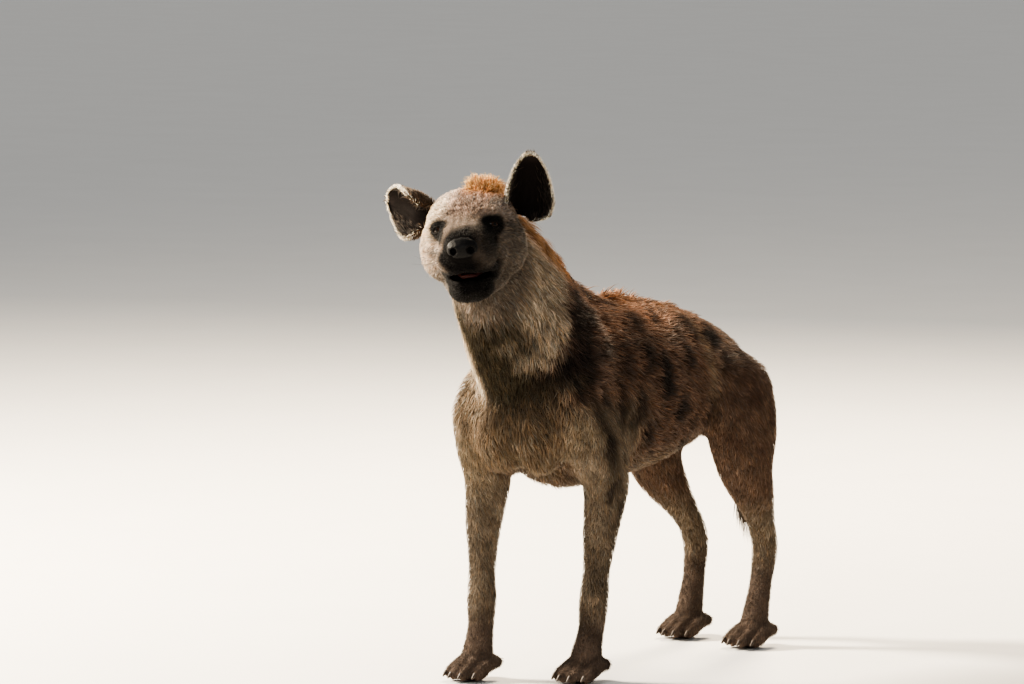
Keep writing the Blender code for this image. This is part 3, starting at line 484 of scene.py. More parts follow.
def spreadOut(values, passes):
    # Each point of the skin takes the mean of itself and its neighbours, several times.
    count = len(values)
    degree = np.bincount(skinEdges.ravel(), minlength=count)[:, None] + 1.0
    for _ in range(passes):
        total = values.copy()
        for column in range(values.shape[1]):
            for ends, others in ((skinEdges[:, 0], skinEdges[:, 1]), (skinEdges[:, 1], skinEdges[:, 0])):
                total[:, column] += np.bincount(ends, values[others, column], minlength=count)
        values = total / degree
    return values


def zoneWeights(points):
    corners, faces, owners = [], [], []
    for name in fleshNodes:
        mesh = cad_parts[name].data
        zone = next(i for i, starts in enumerate(zoneStarts.values()) if name.startswith(starts))
        owners += [zone] * len(mesh.polygons)
        faces += [[v + len(corners) for v in polygon.vertices] for polygon in mesh.polygons]
        corners += [vertex.co.copy() for vertex in mesh.vertices]
    tree = BVHTree.FromPolygons(corners, faces)
    weights = np.zeros((len(points), len(zoneNames)))
    for i, point in enumerate(points):
        weights[i, owners[tree.find_nearest(Vector(point))[2]]] = 1
    return spreadOut(weights, 22)


zones = zoneWeights(skinPoints)
cheekSeam = np.clip(4 * zones[:, 0] * (zones[:, 1] + zones[:, 2]), 0, 1)    # 1 where face and neck meet
print("zones of the coat found")


coatDims = {
    # hair length, how deep the skin lies under its tips, tuft width, and share of tufts
    "face": (0.0125, 0.0030, 0.0011, 2.5),
    "neck": (0.027, 0.0080, 0.0018, 1.1),
    "torso": (0.028, 0.0085, 0.0019, 1.02),
    "leg": (0.017, 0.0032, 0.0012, 1.4),
    "paw": (0.0085, 0.0014, 0.0008, 2.9),
    "tail": (0.030, 0.0040, 0.0020, 1.0),
    "muzzleShare": (0.40, 0.42, 0.75, 1.7),   # what the muzzle has of the face's own
    "ruffMore": 0.75,                         # how much longer the hair grows where face and neck meet
    "crown": ((2.6, 1.4, 7.4), (4.4, 5.4, 3.8)),
    "crownMore": (0.012, 0.0095),             # longer and deeper where the crown's solid tuft stands
    # the pieces' name and slot, zone by zone
    "pieces": (("faceCoat", "face"), ("neckCoat", "neck_coat"), ("trunkCoat", "coat"),
               ("legCoat", "leg_coat"), ("pawCoat", "leg_coat"), ("tailCoat", "brush")),
    "tufts": 121000,
    "most": 19500,        # tufts in one piece
    "rise": 0.0005,       # height of the tips over the coat's depth
    "clump": (24, 0.42),  # tufts to a clump, and how far their tips draw together
    "turn": 0.24,         # how much a tuft may turn from the lie, in radians
    "tone": (0.24, 0.06), # how much tufts differ, and the share of pale ones
    "seed": 11,
}


def coatByZone():
    head = headCoords(skinPoints)
    rows = zones @ np.array([coatDims[name] for name in zoneNames])
    muzzle = ramp(head[:, 1], -7.5, -14.0) * zones[:, 0]
    rows *= 1 + muzzle[:, None] * (np.array(coatDims["muzzleShare"]) - 1)
    rows[:, 0] *= 1 + coatDims["ruffMore"] * (cheekSeam * ramp(head[:, 1], -12, -6))
    rows[:, :2] += blob(head, *coatDims["crown"])[:, None] * np.array(coatDims["crownMore"])
    return dict(zip(("length", "depth", "width", "density"), rows.T))


coat = coatByZone()


def insetPoints():
    # The skin goes down by the coat's depth, but hardly on the soles.
    normals = slopeOf(flesh, skinPoints, 0.002)
    sole = (skinPoints[:, 2] < fleshDims["soleBelow"]) & (normals[:, 2] < -0.5)
    points = skinPoints - normals * (coat["depth"] * np.where(sole, 0.1, 1))[:, None]
    share = ramp(zones[:, 1] + zones[:, 2] + zones[:, 3], 0.5, 1.0) * ramp(bodyCoords(points)[:, 2], 10, 25)
    points = points + (spreadOut(points, 4) - points) * share[:, None]
    # The crease between cheek and neck fills out.
    points = points + (spreadOut(points, 30) - points) * cheekSeam[:, None]
    points[:, 2] = np.maximum(points[:, 2], fleshDims["floor"])
    return points


skinPoints = insetPoints()
setPoints(skin.data, skinPoints)
skinNormals = normalsOf(skin.data)


# The lie of the coat by zone. The face's is in the head's own frame.
lieDims = {
    "face": (0.0, 1.0, -0.12),
    "neck": (0.0, 0.62, -0.78),
    "torso": (0.0, 0.88, -0.48),
    "leg": (0.0, 0.12, -1.0),
    "paw": (0.0, -0.5, -0.85),
    "tail": (0.0, 0.05, -1.0),
    "chest": (0.0, 0.15, -1.0),
}


def coatLie():
    head, body = headCoords(skinPoints), bodyCoords(skinPoints)
    side = np.sign(head[:, 0]) * ramp(np.abs(head[:, 0]), 0.5, 6.0)
    face = np.tile(lieDims["face"], (len(head), 1)).astype(float)
    face[:, 0] += 0.35 * side
    face[:, 2] -= 0.45 * np.abs(side) * ramp(head[:, 2], 5.0, 0.0)
    ways = zones[:, :1] * (unitRows(face) @ turnRows.T)
    for column, name in enumerate(zoneNames[1:], 1):
        ways = ways + zones[:, column:column + 1] * unitRows(np.array([lieDims[name]], float))
    chest = (zones[:, 1] + zones[:, 2]) * ramp(body[:, 1], -2, -13) * ramp(skinNormals[:, 1], 0.1, -0.6)
    ways = ways * (1 - chest[:, None]) + chest[:, None] * unitRows(np.array([lieDims["chest"]], float))
    turn = 0.25 * wobble(skinPoints, 0.16, 3)[:, None] * (1 - zones[:, :1])
    return laidFlat(spreadOut(ways + np.cross(skinNormals, ways) * turn, 14), skinNormals)


coat["lie"] = coatLie()


# Longer hair along the mane, on the crown and on the tail's brush.
longDims = {
    "mane": ((1.4, -23.0, 92.2, 3.6), (1.4, -16.5, 88.0, 4.0), (0.8, -8.2, 82.2, 4.6), (0.2, 0.5, 75.6, 5.0),
             (0.0, 8.5, 72.0, 5.0), (0.0, 20.0, 70.4, 4.4), (0.0, 31.0, 69.0, 3.6), (0.0, 41.0, 66.2, 2.8)),
    "maneLength": 0.056,
    "maneWidth": 0.0021,
    "maneRise": 0.0135,
    "maneTufts": 6300,
    "crown": (2.6, 1.6, 7.2),
    "crownRadii": (3.9, 6.4, 3.4),
    "crownLength": 0.020,
    "crownWidth": 0.0015,
    "crownRise": 0.027,
    "crownTufts": 2600,
    "brush": ((0.2, 64.6, 43.0), (0.4, 65.0, 37.5), (0.5, 64.8, 32.0)),
    "brushLength": 0.110,
    "brushWidth": 0.0024,
    "brushRise": 0.012,
    "brushTufts": 1800,
    "maneColour": (0.215, 0.092, 0.038),
    "napeColour": (0.145, 0.074, 0.036),
    "crownColour": (0.300, 0.118, 0.042),
    "brushColour": (0.030, 0.020, 0.014),
    "maneTip": (0.42, 0.235, 0.105),
    # golden tips of the crown tuft, brightened as painted backlight
    "crownTip": (0.76, 0.56, 0.20),
    # turn, clump, tone, and how light each row of a tuft is, from root to tip
    "maneLook": (0.20, (20, 0.45), (0.28, 0.10), (0.42, 0.8, 1.1, 1.3)),
    "crownLook": (0.6, (14, 0.35), (0.25, 0.15), (0.62, 0.9, 1.15, 1.3)),
    "brushLook": (0.16, (20, 0.5), (0.3, 0.05), (0.5, 0.8, 1.0, 1.2)),
}


# Colours of the coat and the places of its markings, in centimetres.
markDims = {
    "face": (0.190, 0.142, 0.108),
    "neck": (0.252, 0.205, 0.156),
    "torso": (0.082, 0.050, 0.035),
    "leg": (0.113, 0.088, 0.064),
    "paw": (0.070, 0.051, 0.040),
    "tail": (0.045, 0.031, 0.024),
    # the reddish topline, lighter than the flank as painted sunlight on up-facing fur
    "back": (0.265, 0.145, 0.090),
    "throat": (0.036, 0.028, 0.017),
    "forehead": (0.190, 0.128, 0.098),
    "cheek": (0.080, 0.067, 0.056),
    "temple": (0.230, 0.185, 0.155),
    # painted sunlight, laid on the right side of the neck and of the face
    "sunny": (0.560, 0.450, 0.330),
    "pale": (0.400, 0.321, 0.258),
    "black": (0.0045, 0.0038, 0.0036),
    "spot": (0.011, 0.008, 0.007),
    "shoulder": (0.088, 0.056, 0.041),
    "rump": (0.118, 0.082, 0.062),
    "chest": (0.210, 0.161, 0.106),
    "belly": (0.130, 0.098, 0.067),
    # the neck's pale side ends along this line of y and z
    "creamEdge": ((-5.5, 84.0), (-8.3, 75.5), (-12.5, 62.6), (-31.4, 52.7)),
    # y, z, half length, half height and strength of each spot on the flank
    "spots": (
        (39.5, 62.5, 3.4, 2.6, 1.0), (20.8, 68.0, 2.2, 1.8, 0.8), (18.1, 56.6, 2.6, 5.4, 1.0),
        (26.6, 59.3, 2.3, 3.0, 0.9), (9.3, 52.0, 1.7, 5.0, 0.8), (6.1, 60.2, 1.6, 4.6, 0.7),
        (-0.6, 64.0, 1.8, 3.6, 0.7), (-6.0, 61.0, 1.6, 3.6, 0.7), (-10.8, 62.0, 1.6, 3.8, 0.8),
        (-14.5, 57.6, 1.8, 2.6, 0.8), (-10.4, 55.5, 1.7, 2.6, 0.8), (23.3, 50.3, 2.3, 2.8, 0.9),
        (43.4, 57.5, 2.8, 3.0, 0.9), (46.5, 50.3, 2.9, 2.8, 1.0), (52.9, 46.3, 2.3, 2.6, 0.9),
        (36.5, 48.1, 2.6, 3.0, 0.9), (31.5, 65.0, 2.4, 1.9, 0.8), (13.0, 66.5, 2.0, 1.8, 0.7),
        (13.5, 60.5, 1.6, 2.6, 0.8), (14.0, 47.0, 2.2, 2.4, 0.8), (29.0, 44.0, 2.2, 2.0, 0.8),
        (2.6, 50.5, 1.7, 2.8, 0.8), (-3.0, 53.5, 1.6, 2.6, 0.8), (49.5, 57.0, 2.0, 2.4, 0.8),
        (41.5, 42.0, 2.2, 2.4, 0.8), (47.5, 40.0, 2.0, 2.4, 0.8), (51.0, 34.0, 1.6, 2.0, 0.7),
        (-4.0, 45.5, 1.5, 2.0, 0.7), (1.0, 42.0, 1.4, 1.8, 0.7), (-2.0, 36.0, 1.2, 1.7, 0.7),
        (1.2, 31.5, 1.1, 1.6, 0.6),
    ),
}


def pastLine(y, z, line):
    # How far a place lies above and ahead of a line of y and z.
    line = np.array(line)
    best = np.full(len(y), np.inf)
    signed = np.zeros(len(y))
    for a, b in zip(line, line[1:]):
        along = b - a
        t = np.clip(((y - a[0]) * along[0] + (z - a[1]) * along[1]) / (along @ along), 0, 1)
        dy, dz = y - a[0] - t * along[0], z - a[1] - t * along[1]
        distance = np.hypot(dy, dz)
        ahead = np.sign(along[1] * dy - along[0] * dz)
        signed = np.where(distance < best, distance * ahead, signed)
        best = np.minimum(best, distance)
    return signed


def markings(points, normals, weights):
    head = headCoords(points)
    headX, headY, headZ = head.T
    aside, along, high = bodyCoords(points).T
    face, neck, torso, leg, paw, _ = weights.T
    front, up = -normals[:, 1], normals[:, 2]
    trunk = np.clip(torso + leg + paw, 0, 1)
    wander = wobble(points, 0.07, 21)
    colours = weights @ np.array([markDims[name] for name in zoneNames])

    def lay(name, share):
        nonlocal colours
        share = np.clip(share, 0, 1)[:, None]
        colours = colours * (1 - share) + np.array(markDims[name]) * share

    # The neck's pale coat ends in the dark shoulder.
    past = pastLine(along + 1.2 * wander, high, markDims["creamEdge"])
    cream = ramp(past, -2.2, 1.6) * ramp(high, 50, 54)
    lay("shoulder", (neck + torso * ramp(along, 6, -6)) * (1 - cream))
    lay("neck", torso * cream)
    behind = ramp(past, -12, -6.5) * ramp(past, -0.8, -2.6) * ramp(high, 52, 58)
    lay("spot", (neck + torso) * behind * 0.92 * ramp(up, 0.75, 0.45))
    # Trunk and legs.
    # The top of the trunk and neck is reddish and lighter where the fur faces up: partly its own colour,
    # partly painted sunlight.
    lay("back", (torso + neck) * ramp(up + 0.12 * wander, 0.38, 0.95) * ramp(along, 60, 34))
    run = np.stack([0.9 * along + 0.35 * high, 0.16 * high - 0.06 * along, 0.3 * aside], axis=1)
    streak = trunk * (1 - cream) * ramp(along, -16, -8) * ramp(along, 26, 8) * wobble(run, 4.6, 12)
    colours = colours * (1 + 0.42 * streak[:, None])
    fold = ramp(np.abs(along - 35 + 0.25 * (high - 58)), 3.4, 0.8) * ramp(high, 44, 50) * ramp(high, 69, 64)
    lay("belly", torso * fold * 0.6)
    lay("belly", torso * ramp(up, -0.4, -0.9) * 0.7)
    chest = ramp(along + 2 * wander, -6, -13) * ramp(high, 62, 52) * (torso + leg)
    # The pale chest reaches further on the right side: painted sunlight.
    lay("chest", chest * (0.42 + 0.12 * ramp(aside, 4, -6)) * ramp(high, 30, 42))
    lay("rump", np.clip(torso + leg, 0, 1) * ramp(along + 2 * wander, 34, 48) * ramp(high, 46, 54))
    spotY = along + 0.8 * wobble(points, 0.05, 5)
    spotZ = high + 1.0 * wobble(points, 0.06, 6)
    spotted = (trunk + neck * (1 - cream)) * ramp(np.abs(aside), 2.5, 5.0)
    for y, z, longer, taller, strength in markDims["spots"]:
        distance = np.hypot((spotY - y) / longer, (spotZ - z) / taller)
        lay("spot", spotted * strength * ramp(distance, 1.25, 0.5))
    thigh = torso * ramp(along, 30, 38) * ramp(high, 48, 40) + leg * ramp(along, 20, 30) * ramp(high, 24, 32)
    lay("torso", thigh * 0.85)
    # Neck: pale at the sides and dark under the throat, with painted sunlight down its right side and painted
    # shade on its left side.
    ahead = ramp(front + 0.15 * wander, 0.20, 0.65) * ramp(np.abs(aside - 2.7 + 0.1 * (high - 60)), 7.6, 4.2)
    breast = torso * ramp(along, -6, -14)
    lay("throat", (neck + 0.45 * breast) * ahead * ramp(high, 38, 46))
    # Painted sunlight: a bright strip down the neck's right side and a little onto the breast.
    sunny = (neck + 0.15 * breast) * (1 - ahead) * ramp(aside, -1.5, -5.5) * ramp(front, -0.30, 0.25)
    lay("sunny", sunny * ramp(high, 44, 56))
    # Painted shade: the neck darkens towards its left side.
    colours = colours * (1 - 0.18 * neck * ramp(aside, 2, 8))[:, None]
    # Face: warm forehead, grey-brown cheeks, black round nose, mouth and eyes, with painted sunlight on the
    # right side of the face and painted shade on its left side.
    lay("forehead", face * blob(head, (0.0, -4.0, 6.0), (6.5, 9.5, 5.5)))
    crown = (0.7 * face * blob(head, longDims["crown"], (5.4, 8.4, 3.8)))[:, None]
    colours = colours * (1 - crown) + np.array(longDims["crownColour"]) * crown
    streak = face * wobble(head * (1.0, 0.16, 0.45), 1.1, 14)
    colours = colours * (1 + 0.30 * streak[:, None])
    # Painted sunlight: the right side of the face is pale.
    lay("pale", face * 0.9 * ramp(headX - 0.2 * headY, 0.5, -3.5))
    # Painted shade: the left side of the face is grey-brown below the brow.
    lay("cheek", face * 0.9 * ramp(headX, 0.5, 4.0) * ramp(headZ, 4.6, 1.2))
    lay("cheek", face * 0.8 * ramp(headZ, -4.0, -7.0))
    # Painted shade at the back of the left cheek, where it meets the neck.
    leftJowlShade = ramp(headX, 5.0, 7.6) * ramp(headY, 5.0, 1.0) * ramp(headZ, 4.0, 1.0)
    lay("cheek", (face + 0.5 * neck) * 0.5 * leftJowlShade)
    lay("temple", face * 0.9 * blob(head, (6.4, -5.6, 4.2), (3.4, 4.6, 2.8)))
    # Painted sunlight: a bright patch on the right side of the face.
    lay("sunny", face * 0.9 * blob(head, (-6.6, -6.0, 3.6), (4.6, 6.0, 4.6)))
    # The muzzle is black; its black reaches further back on the left side than on the right, which is painted
    # shade.
    muzzle = ramp(headY + 0.7 * wander + 0.30 * np.abs(headZ + 2.5) - 0.70 * headX, -12.6, -15.6)
    lay("black", face * muzzle * (1 - 0.38 * ramp(headX + 0.6 * wander, 1.5, 3.6)))
    lips = ramp(np.abs(headZ + 5.6 - 0.05 * headY + 0.3 * wander), 1.5, 0.9) * ramp(headY, -8.0, -10.5)
    chin = ramp(headY + 0.6 * wander, -9.5, -12.5) * ramp(headZ, -4.6, -5.6)
    lay("black", face * np.maximum(lips, chin))
    for sign in sides.values():
        lay("black", face * 1.5 * blob(head, (eyeX * sign, eyeY - 0.8, eyeZ - 0.1), (3.2, 3.5, 2.1)))
        lay("black", face * 1.6 * blob(head, ((eyeX - 1.3) * sign, eyeY - 3.4, eyeZ - 1.5), (2.5, 4.0, 1.9)))
    # Painted shade: a dark patch from the left eye down towards the nose.
    lay("black", face * 1.1 * blob(head, (eyeX - 0.2, eyeY - 2.6, eyeZ - 2.4), (2.6, 3.6, 2.4)))
    return colours * (1 + 0.13 * wobble(points, 0.035, 8))[:, None]


coat["colour"] = markings(skinPoints, skinNormals, zones)
print("markings laid")


def unwrapped(obj):
    # An unwrap of the whole shape.
    bpy.ops.object.select_all(action="DESELECT")
    obj.select_set(True)
    bpy.context.view_layer.objects.active = obj
    obj.data.uv_layers.new(name="OFBake")
    bpy.ops.object.mode_set(mode="EDIT")
    bpy.ops.mesh.select_all(action="SELECT")
    bpy.ops.uv.smart_project(angle_limit=math.radians(66), island_margin=0.002)
    bpy.ops.object.mode_set(mode="OBJECT")
    return readRows(obj.data.uv_layers["OFBake"].uv, "vector", 2).reshape(-1, 3, 2)


skinMap = unwrapped(skin)
print("skin unwrapped")


# Hair: closed tufts of three sides, joined into a few meshes.
floorGap = 0.0006      # no hair lies lower than this


def scattered(points, triangles, density, count, seed):
    # Random places on the triangles: which triangle, and the shares of its three corners.
    draw = np.random.default_rng(seed)
    corners = points[triangles]
    area = np.linalg.norm(np.cross(corners[:, 1] - corners[:, 0], corners[:, 2] - corners[:, 0]), axis=1) / 2
    weight = area * density[triangles].mean(axis=1)
    chosen = np.searchsorted(np.cumsum(weight) / weight.sum(), draw.random(count))
    chosen = np.minimum(chosen, len(triangles) - 1)
    a, b = np.sqrt(draw.random(count)), draw.random(count)
    return chosen, np.stack([1 - a, a * (1 - b), a * b], axis=1)


def readAt(values, triangles, spots):
    chosen, shares = spots
    rows = values[triangles[chosen]]
    return (rows * shares.reshape(shares.shape + (1,) * (rows.ndim - 2))).sum(axis=1)


class Hair:
    # Tufts to be: where each is rooted, how it lies and how it looks.
    def __init__(self, root, normal, lie, length, width, rise, colour, uv, seed):
        self.draw = np.random.default_rng(seed)
        count = len(root)
        self.root, self.normal, self.colour, self.uv = root, normal, colour, uv
        self.length = length * self.draw.uniform(0.72, 1.22, count)
        self.width = width * self.draw.uniform(0.75, 1.25, count)
        self.rise = rise * self.draw.uniform(0.55, 1.45, count)
        self.lie = lie

    def turned(self, spread):
        angle = self.draw.normal(0, spread, len(self.root))[:, None]
        across = np.cross(self.normal, self.lie)
        self.lie = unitRows(self.lie * np.cos(angle) + across * np.sin(angle))

    def path(self, s):
        up = self.rise * (1 - (1 - s) ** 2)
        along = self.length * s
        return self.root + self.lie * along[:, None] + self.normal * up[:, None] + self.pull * s ** 2

    def clumped(self, size, pull):
        # The tips of each clump draw together.
        self.pull = np.zeros_like(self.root)
        count = max(1, len(self.root) // size)
        tips = self.path(1.0)
        leaders = self.draw.choice(len(tips), count, replace=False)
        tree = KDTree(count)
        for i, leader in enumerate(leaders):
            tree.insert(self.root[leader], i)
        tree.balance()
        nearest = np.array([tree.find(point)[1] for point in self.root])
        self.clumpTone = self.draw.normal(0, 1, count)[nearest]
        shift = tips[leaders][nearest] - tips
        reach = np.linalg.norm(shift, axis=1)
        shift *= (np.minimum(reach, self.length * 0.45) / np.maximum(reach, 1e-9))[:, None]
        self.pull = shift * pull * self.draw.uniform(0.4, 1.3, len(tips))[:, None]

    def mesh(self, name, chosen, rows=(0.0, 0.42), sunk=0.0015, tones=(0.5, 0.95, 1.25), droop=0.0, tip=None):
        # Each tuft is a row of triangles that runs out in a point.
        fall = self.length[chosen, None] * (0, 0, -droop)
        middles = [self.path(s)[chosen] + fall * s ** 2 for s in (*rows, 1.0)]
        middles[0] = middles[0] - self.normal[chosen] * sunk
        across = unitRows(np.cross(self.normal, self.lie))[chosen]
        corners = ((-0.5, 0.0), (0.5, 0.0), (0.0, 0.42))
        points, tone, spots = [], [], []
        for i, s in enumerate(rows):
            size = self.width[chosen, None] * (1.0, 0.92, 0.62)[i]
            for side, out in corners:
                points.append(middles[i] + across * side * size + self.normal[chosen] * out * size)
                tone.append(tones[i])
                spots.append((side * 0.003, (s - 0.5) * 0.003))
        points.append(middles[-1])
        tone.append(tones[-1])
        spots.append((0.0, 0.0015))
        each = len(points)
        points = np.stack(points, axis=1).reshape(-1, 3)
        points[:, 2] = np.maximum(points[:, 2], floorGap)
        faces = [(0, 2, 1)]
        for i in range(len(rows) - 1):
            for k in range(3):
                a, b = 3 * i + k, 3 * i + (k + 1) % 3
                faces += [(a, b, b + 3), (a, b + 3, a + 3)]
        last = 3 * (len(rows) - 1)
        faces += [(last + k, last + (k + 1) % 3, each - 1) for k in range(3)]
        faces = (np.array(faces)[None] + np.arange(len(chosen))[:, None, None] * each).reshape(-1, 3)
        obj = newObject(name, points, faces)
        colours = self.shade(chosen)[:, None, :] * np.array(tone)[None, :, None]
        if tip:
            share = np.array([0.0] * last + [0.35] * 3 + [1.0])[:, None] * self.tipShare[chosen, None, None]
            colours = colours * (1 - share) + np.array(tip) * share
        storeColour(obj.data, "hairColour", np.clip(colours.reshape(-1, 3), 0, 1))
        uv = (self.uv[chosen][:, None, :] + np.array(spots)[None]).reshape(-1, 2)
        layer = obj.data.uv_layers.new(name="OFBake")
        layer.uv.foreach_set("vector", uv[faces.ravel()].astype(np.float32).ravel())
        obj.data.shade_smooth()
        return obj

    def shade(self, chosen):
        # Each tuft a little lighter, darker or warmer than its place.
        light = np.exp(self.tone[chosen])[:, None]
        warm = self.warmth[chosen][:, None] * np.array((0.10, 0.0, -0.10))
        return self.colour[chosen] * light * (1 + warm)

    def toned(self, spread, pale):
        count = len(self.root)
        self.tone = self.draw.normal(0, spread, count)
        self.tone += np.where(self.draw.random(count) < pale, 0.45, 0.0) + self.clumpTone * spread * 0.65
        self.tipShare = self.draw.uniform(0.2, 1.0, count)
        self.warmth = self.draw.normal(0, 0.8, count)


def hairOn(density, count, seed, length, width, rise, colour, lie, hangs=False):
    spots = scattered(skinPoints, skinTriangles, density, count, seed)

    def read(values, *shape):
        return readAt(np.broadcast_to(values, (len(skinPoints), *shape)), skinTriangles, spots)

    normal = unitRows(read(skinNormals, 3))
    way = read(lie, 3)
    if not hangs:
        way = laidFlat(way, normal)
    uv = (skinMap[spots[0]] * spots[1][:, :, None]).sum(axis=1)
    return Hair(read(skinPoints, 3), normal, way, read(length), read(width), read(rise), read(colour, 3), uv,
                seed + 1), spots


def baldPlaces():
    # 0 where no hair grows: at the nose, under the feet, in the eyes and in the mouth.
    head = headCoords(skinPoints)
    grows = blob(head, (0, -18.6, -1.4), (3.4, 2.6, 2.6)) <= 0.4
    grows &= (skinPoints[:, 2] >= 0.012) | (skinNormals[:, 2] >= -0.3)
    wide, high = eyeDims["bare"]
    for side in sides:
        centre, turn = eyePlace(side)
        x, y, z = ((skinPoints - centre) @ turn).T
        grows &= (np.hypot(x / wide, z / high) >= 1) | (y >= 0)
    x, y, z = head.T
    facing = np.abs(skinNormals @ turnRows[:, 2]) > 0.55
    inMouth = (np.abs(z + 5.55 - 0.05 * y) < 0.8) & (y < -6) & (np.abs(x) < 4.8) & facing
    return grows & ~inMouth


def makeCoat():
    hair, spots = hairOn(coat["density"] * baldPlaces(), coatDims["tufts"], coatDims["seed"], coat["length"],
                         coat["width"], coat["depth"] + coatDims["rise"], coat["colour"], coat["lie"])
    # A tuft has the colour of the place that its middle covers.
    weights = readAt(zones, skinTriangles, spots)
    middles = hair.root + hair.lie * (hair.length * 0.5)[:, None]
    hair.colour = markings(middles, hair.normal, weights)
    hair.turned(coatDims["turn"])
    hair.clumped(*coatDims["clump"])
    hair.toned(*coatDims["tone"])
    owner = weights.argmax(axis=1)
    pieces = []
    for zone, (name, slot) in enumerate(coatDims["pieces"]):
        chosen = np.flatnonzero(owner == zone)
        hair.draw.shuffle(chosen)
        for i, part in enumerate(np.array_split(chosen, math.ceil(len(chosen) / coatDims["most"]))):
            pieces.append((hair.mesh(f"{name}{i + 1}", part), slot))
        print(name, len(chosen), "tufts")
    return pieces


coatPieces = makeCoat()


def nearLine(points, line):
    # Distance to a line of points, in their units, and the half width read there.
    best = np.full(len(points), np.inf)
    wide = np.zeros(len(points))
    line = np.array(line)
    for a, b in zip(line, line[1:]):
        along = b[:3] - a[:3]
        t = np.clip((points - a[:3]) @ along / (along @ along), 0, 1)
        distance = np.linalg.norm(points - a[:3] - t[:, None] * along, axis=1)
        closer = distance < best
        best = np.where(closer, distance, best)
        if len(a) > 3:
            wide = np.where(closer, a[3] + (b[3] - a[3]) * t, wide)
    return best, wide


def longHair(name, look, made, **more):
    turn, clump, tone, tones = longDims[look]
    hair, _ = made
    hair.turned(turn)
    hair.clumped(*clump)
    hair.toned(*tone)
    return hair.mesh(name, np.arange(len(hair.root)), rows=(0.0, 0.3, 0.66), sunk=0.003, tones=tones, **more)


def makeMane():
    body = bodyCoords(skinPoints)
    distance, wide = nearLine(body, longDims["mane"])
    share = ramp(distance / np.maximum(wide, 1e-6), 1.35, 0.5) * ramp(skinNormals[:, 2], -0.1, 0.35)
    nape = ramp(body[:, 1], -4.0, -14.0)[:, None]
    colour = np.array(longDims["maneColour"]) * (1 - nape) + np.array(longDims["napeColour"]) * nape
    back = ramp(body[:, 1], 12, 42)
    size = 1 - 0.55 * back - 0.55 * ramp(np.abs(body[:, 1] - 2.0), 12.0, 3.0)
    size = size - 0.30 * ramp(np.abs(body[:, 1] - 20.0), 9.0, 3.0)
    colour = colour * (1 - 0.45 * back[:, None])
    rise = longDims["maneRise"] * size * (0.6 + 0.4 * share)
    hair = hairOn(share * size, longDims["maneTufts"], 31, longDims["maneLength"] * size,
                  longDims["maneWidth"], rise, colour, coat["lie"])
    return longHair("maneLocks", "maneLook", hair, droop=0.14, tip=longDims["maneTip"])


def makeCrownTuft():
    head = headCoords(skinPoints)
    share = blob(head, longDims["crown"], longDims["crownRadii"]) * ramp(skinNormals[:, 2], 0.0, 0.5)
    share = share * ramp(head[:, 0], 6.8, 4.6)
    lie = unitRows((head - np.array((2.6, 0.0, 5.0))) * (0.32, 0.16, 0.0) + (0.0, 1.0, 0.0)) @ turnRows.T
    hair = hairOn(share, longDims["crownTufts"], 41, longDims["crownLength"] * (0.40 + 0.60 * share ** 2),
                  longDims["crownWidth"], longDims["crownRise"] * (0.04 + 0.96 * share ** 2),
                  longDims["crownColour"], lie)
    return longHair("crownTuft", "crownLook", hair, tip=longDims["crownTip"])


def makeBrush():
    body = bodyCoords(skinPoints)
    distance, _ = nearLine(body, longDims["brush"])
    share = ramp(distance, 4.2, 3.0) * ramp(body[:, 2], 46, 42)
    hair = hairOn(share, longDims["brushTufts"], 51, longDims["brushLength"], longDims["brushWidth"],
                  longDims["brushRise"], longDims["brushColour"], (0.0, 0.10, -1.0), hangs=True)
    return longHair("tailBrush", "brushLook", hair)


longPieces = [(makeMane(), "coat"), (makeCrownTuft(), "face"), (makeBrush(), "brush")]
print("mane, crown tuft and brush made")


# Ears: the solids' cup made finer, with the folds inside it and fur on its back and rim.
earDims = {
    "length": 0.1135,
    "width": 0.095,
    "cup": ((0.0, 0.46, 120), (0.07, 0.80, 108), (0.17, 0.93, 94), (0.36, 0.94, 74), (0.58, 0.82, 56),
            (0.78, 0.60, 40), (0.92, 0.34, 28), (1.0, 0.13, 20)),
    "bent": 0.35,            # share of its length that bends towards the head
    "rootWall": 0.005,
    "rimWall": 0.0026,
    "rows": 44,
    "columns": 40,
    # root, axis, facing and bend of each, in the head's own frame
    "stands": {
        "left": ((8.4, 2.2, 3.1), (0.29, -0.28, 0.93), (0.42, -0.85, -0.03), (-1.3, 0.1, -0.5)),
        "right": ((-7.6, 0.4, 4.4), (-0.66, 0.60, 0.26), (-0.41, -0.99, -0.17), (1.4, 0.6, -0.4)),
    },
    # dark skin inside the ears, darkened further as painted shade
    "inside": (0.0068, 0.0052, 0.0046),
    "back": (0.062, 0.042, 0.028),
    "fur": {
        # tufts, length, width, rise and colour
        "Back": (3600, 0.012, 0.0013, 0.0022, (0.062, 0.042, 0.028)),
        # a pale fringe, whitened further as painted backlight
        "Rim": (1700, 0.0062, 0.0008, 0.0022, (0.72, 0.62, 0.48)),
        # the inner hair, darkened as painted shade like the skin inside
        "Inner": (420, 0.018, 0.0008, 0.0050, (0.034, 0.027, 0.022)),
    },
}


def smoothRows(rows, count):
    # Rows read from one smooth curve through the given rows, by their first number.
    rows = np.array(rows, float)
    at = rows[:, 0]
    slope = np.gradient(rows, at, axis=0)
    places = np.linspace(at[0], at[-1], count)
    low = np.clip(np.searchsorted(at, places, side="right") - 1, 0, len(at) - 2)
    span = (at[low + 1] - at[low])[:, None]
    t = (places - at[low])[:, None] / span
    start = (1 + 2 * t) * (1 - t) ** 2 * rows[low] + t * (1 - t) ** 2 * span * slope[low]
    end = t * t * (3 - 2 * t) * rows[low + 1] + t * t * (t - 1) * span * slope[low + 1]
    return start + end


def earFrame(side):
    root, axis, facing, _ = (np.array(v, float) for v in earDims["stands"][side])
    up = axis / np.linalg.norm(axis)
    back = up * (facing @ up) - facing
    back /= np.linalg.norm(back)
    turn = turnRows @ np.stack([np.cross(back, up), back, up], axis=1)
    return np.array(headPoint(*root)), turn


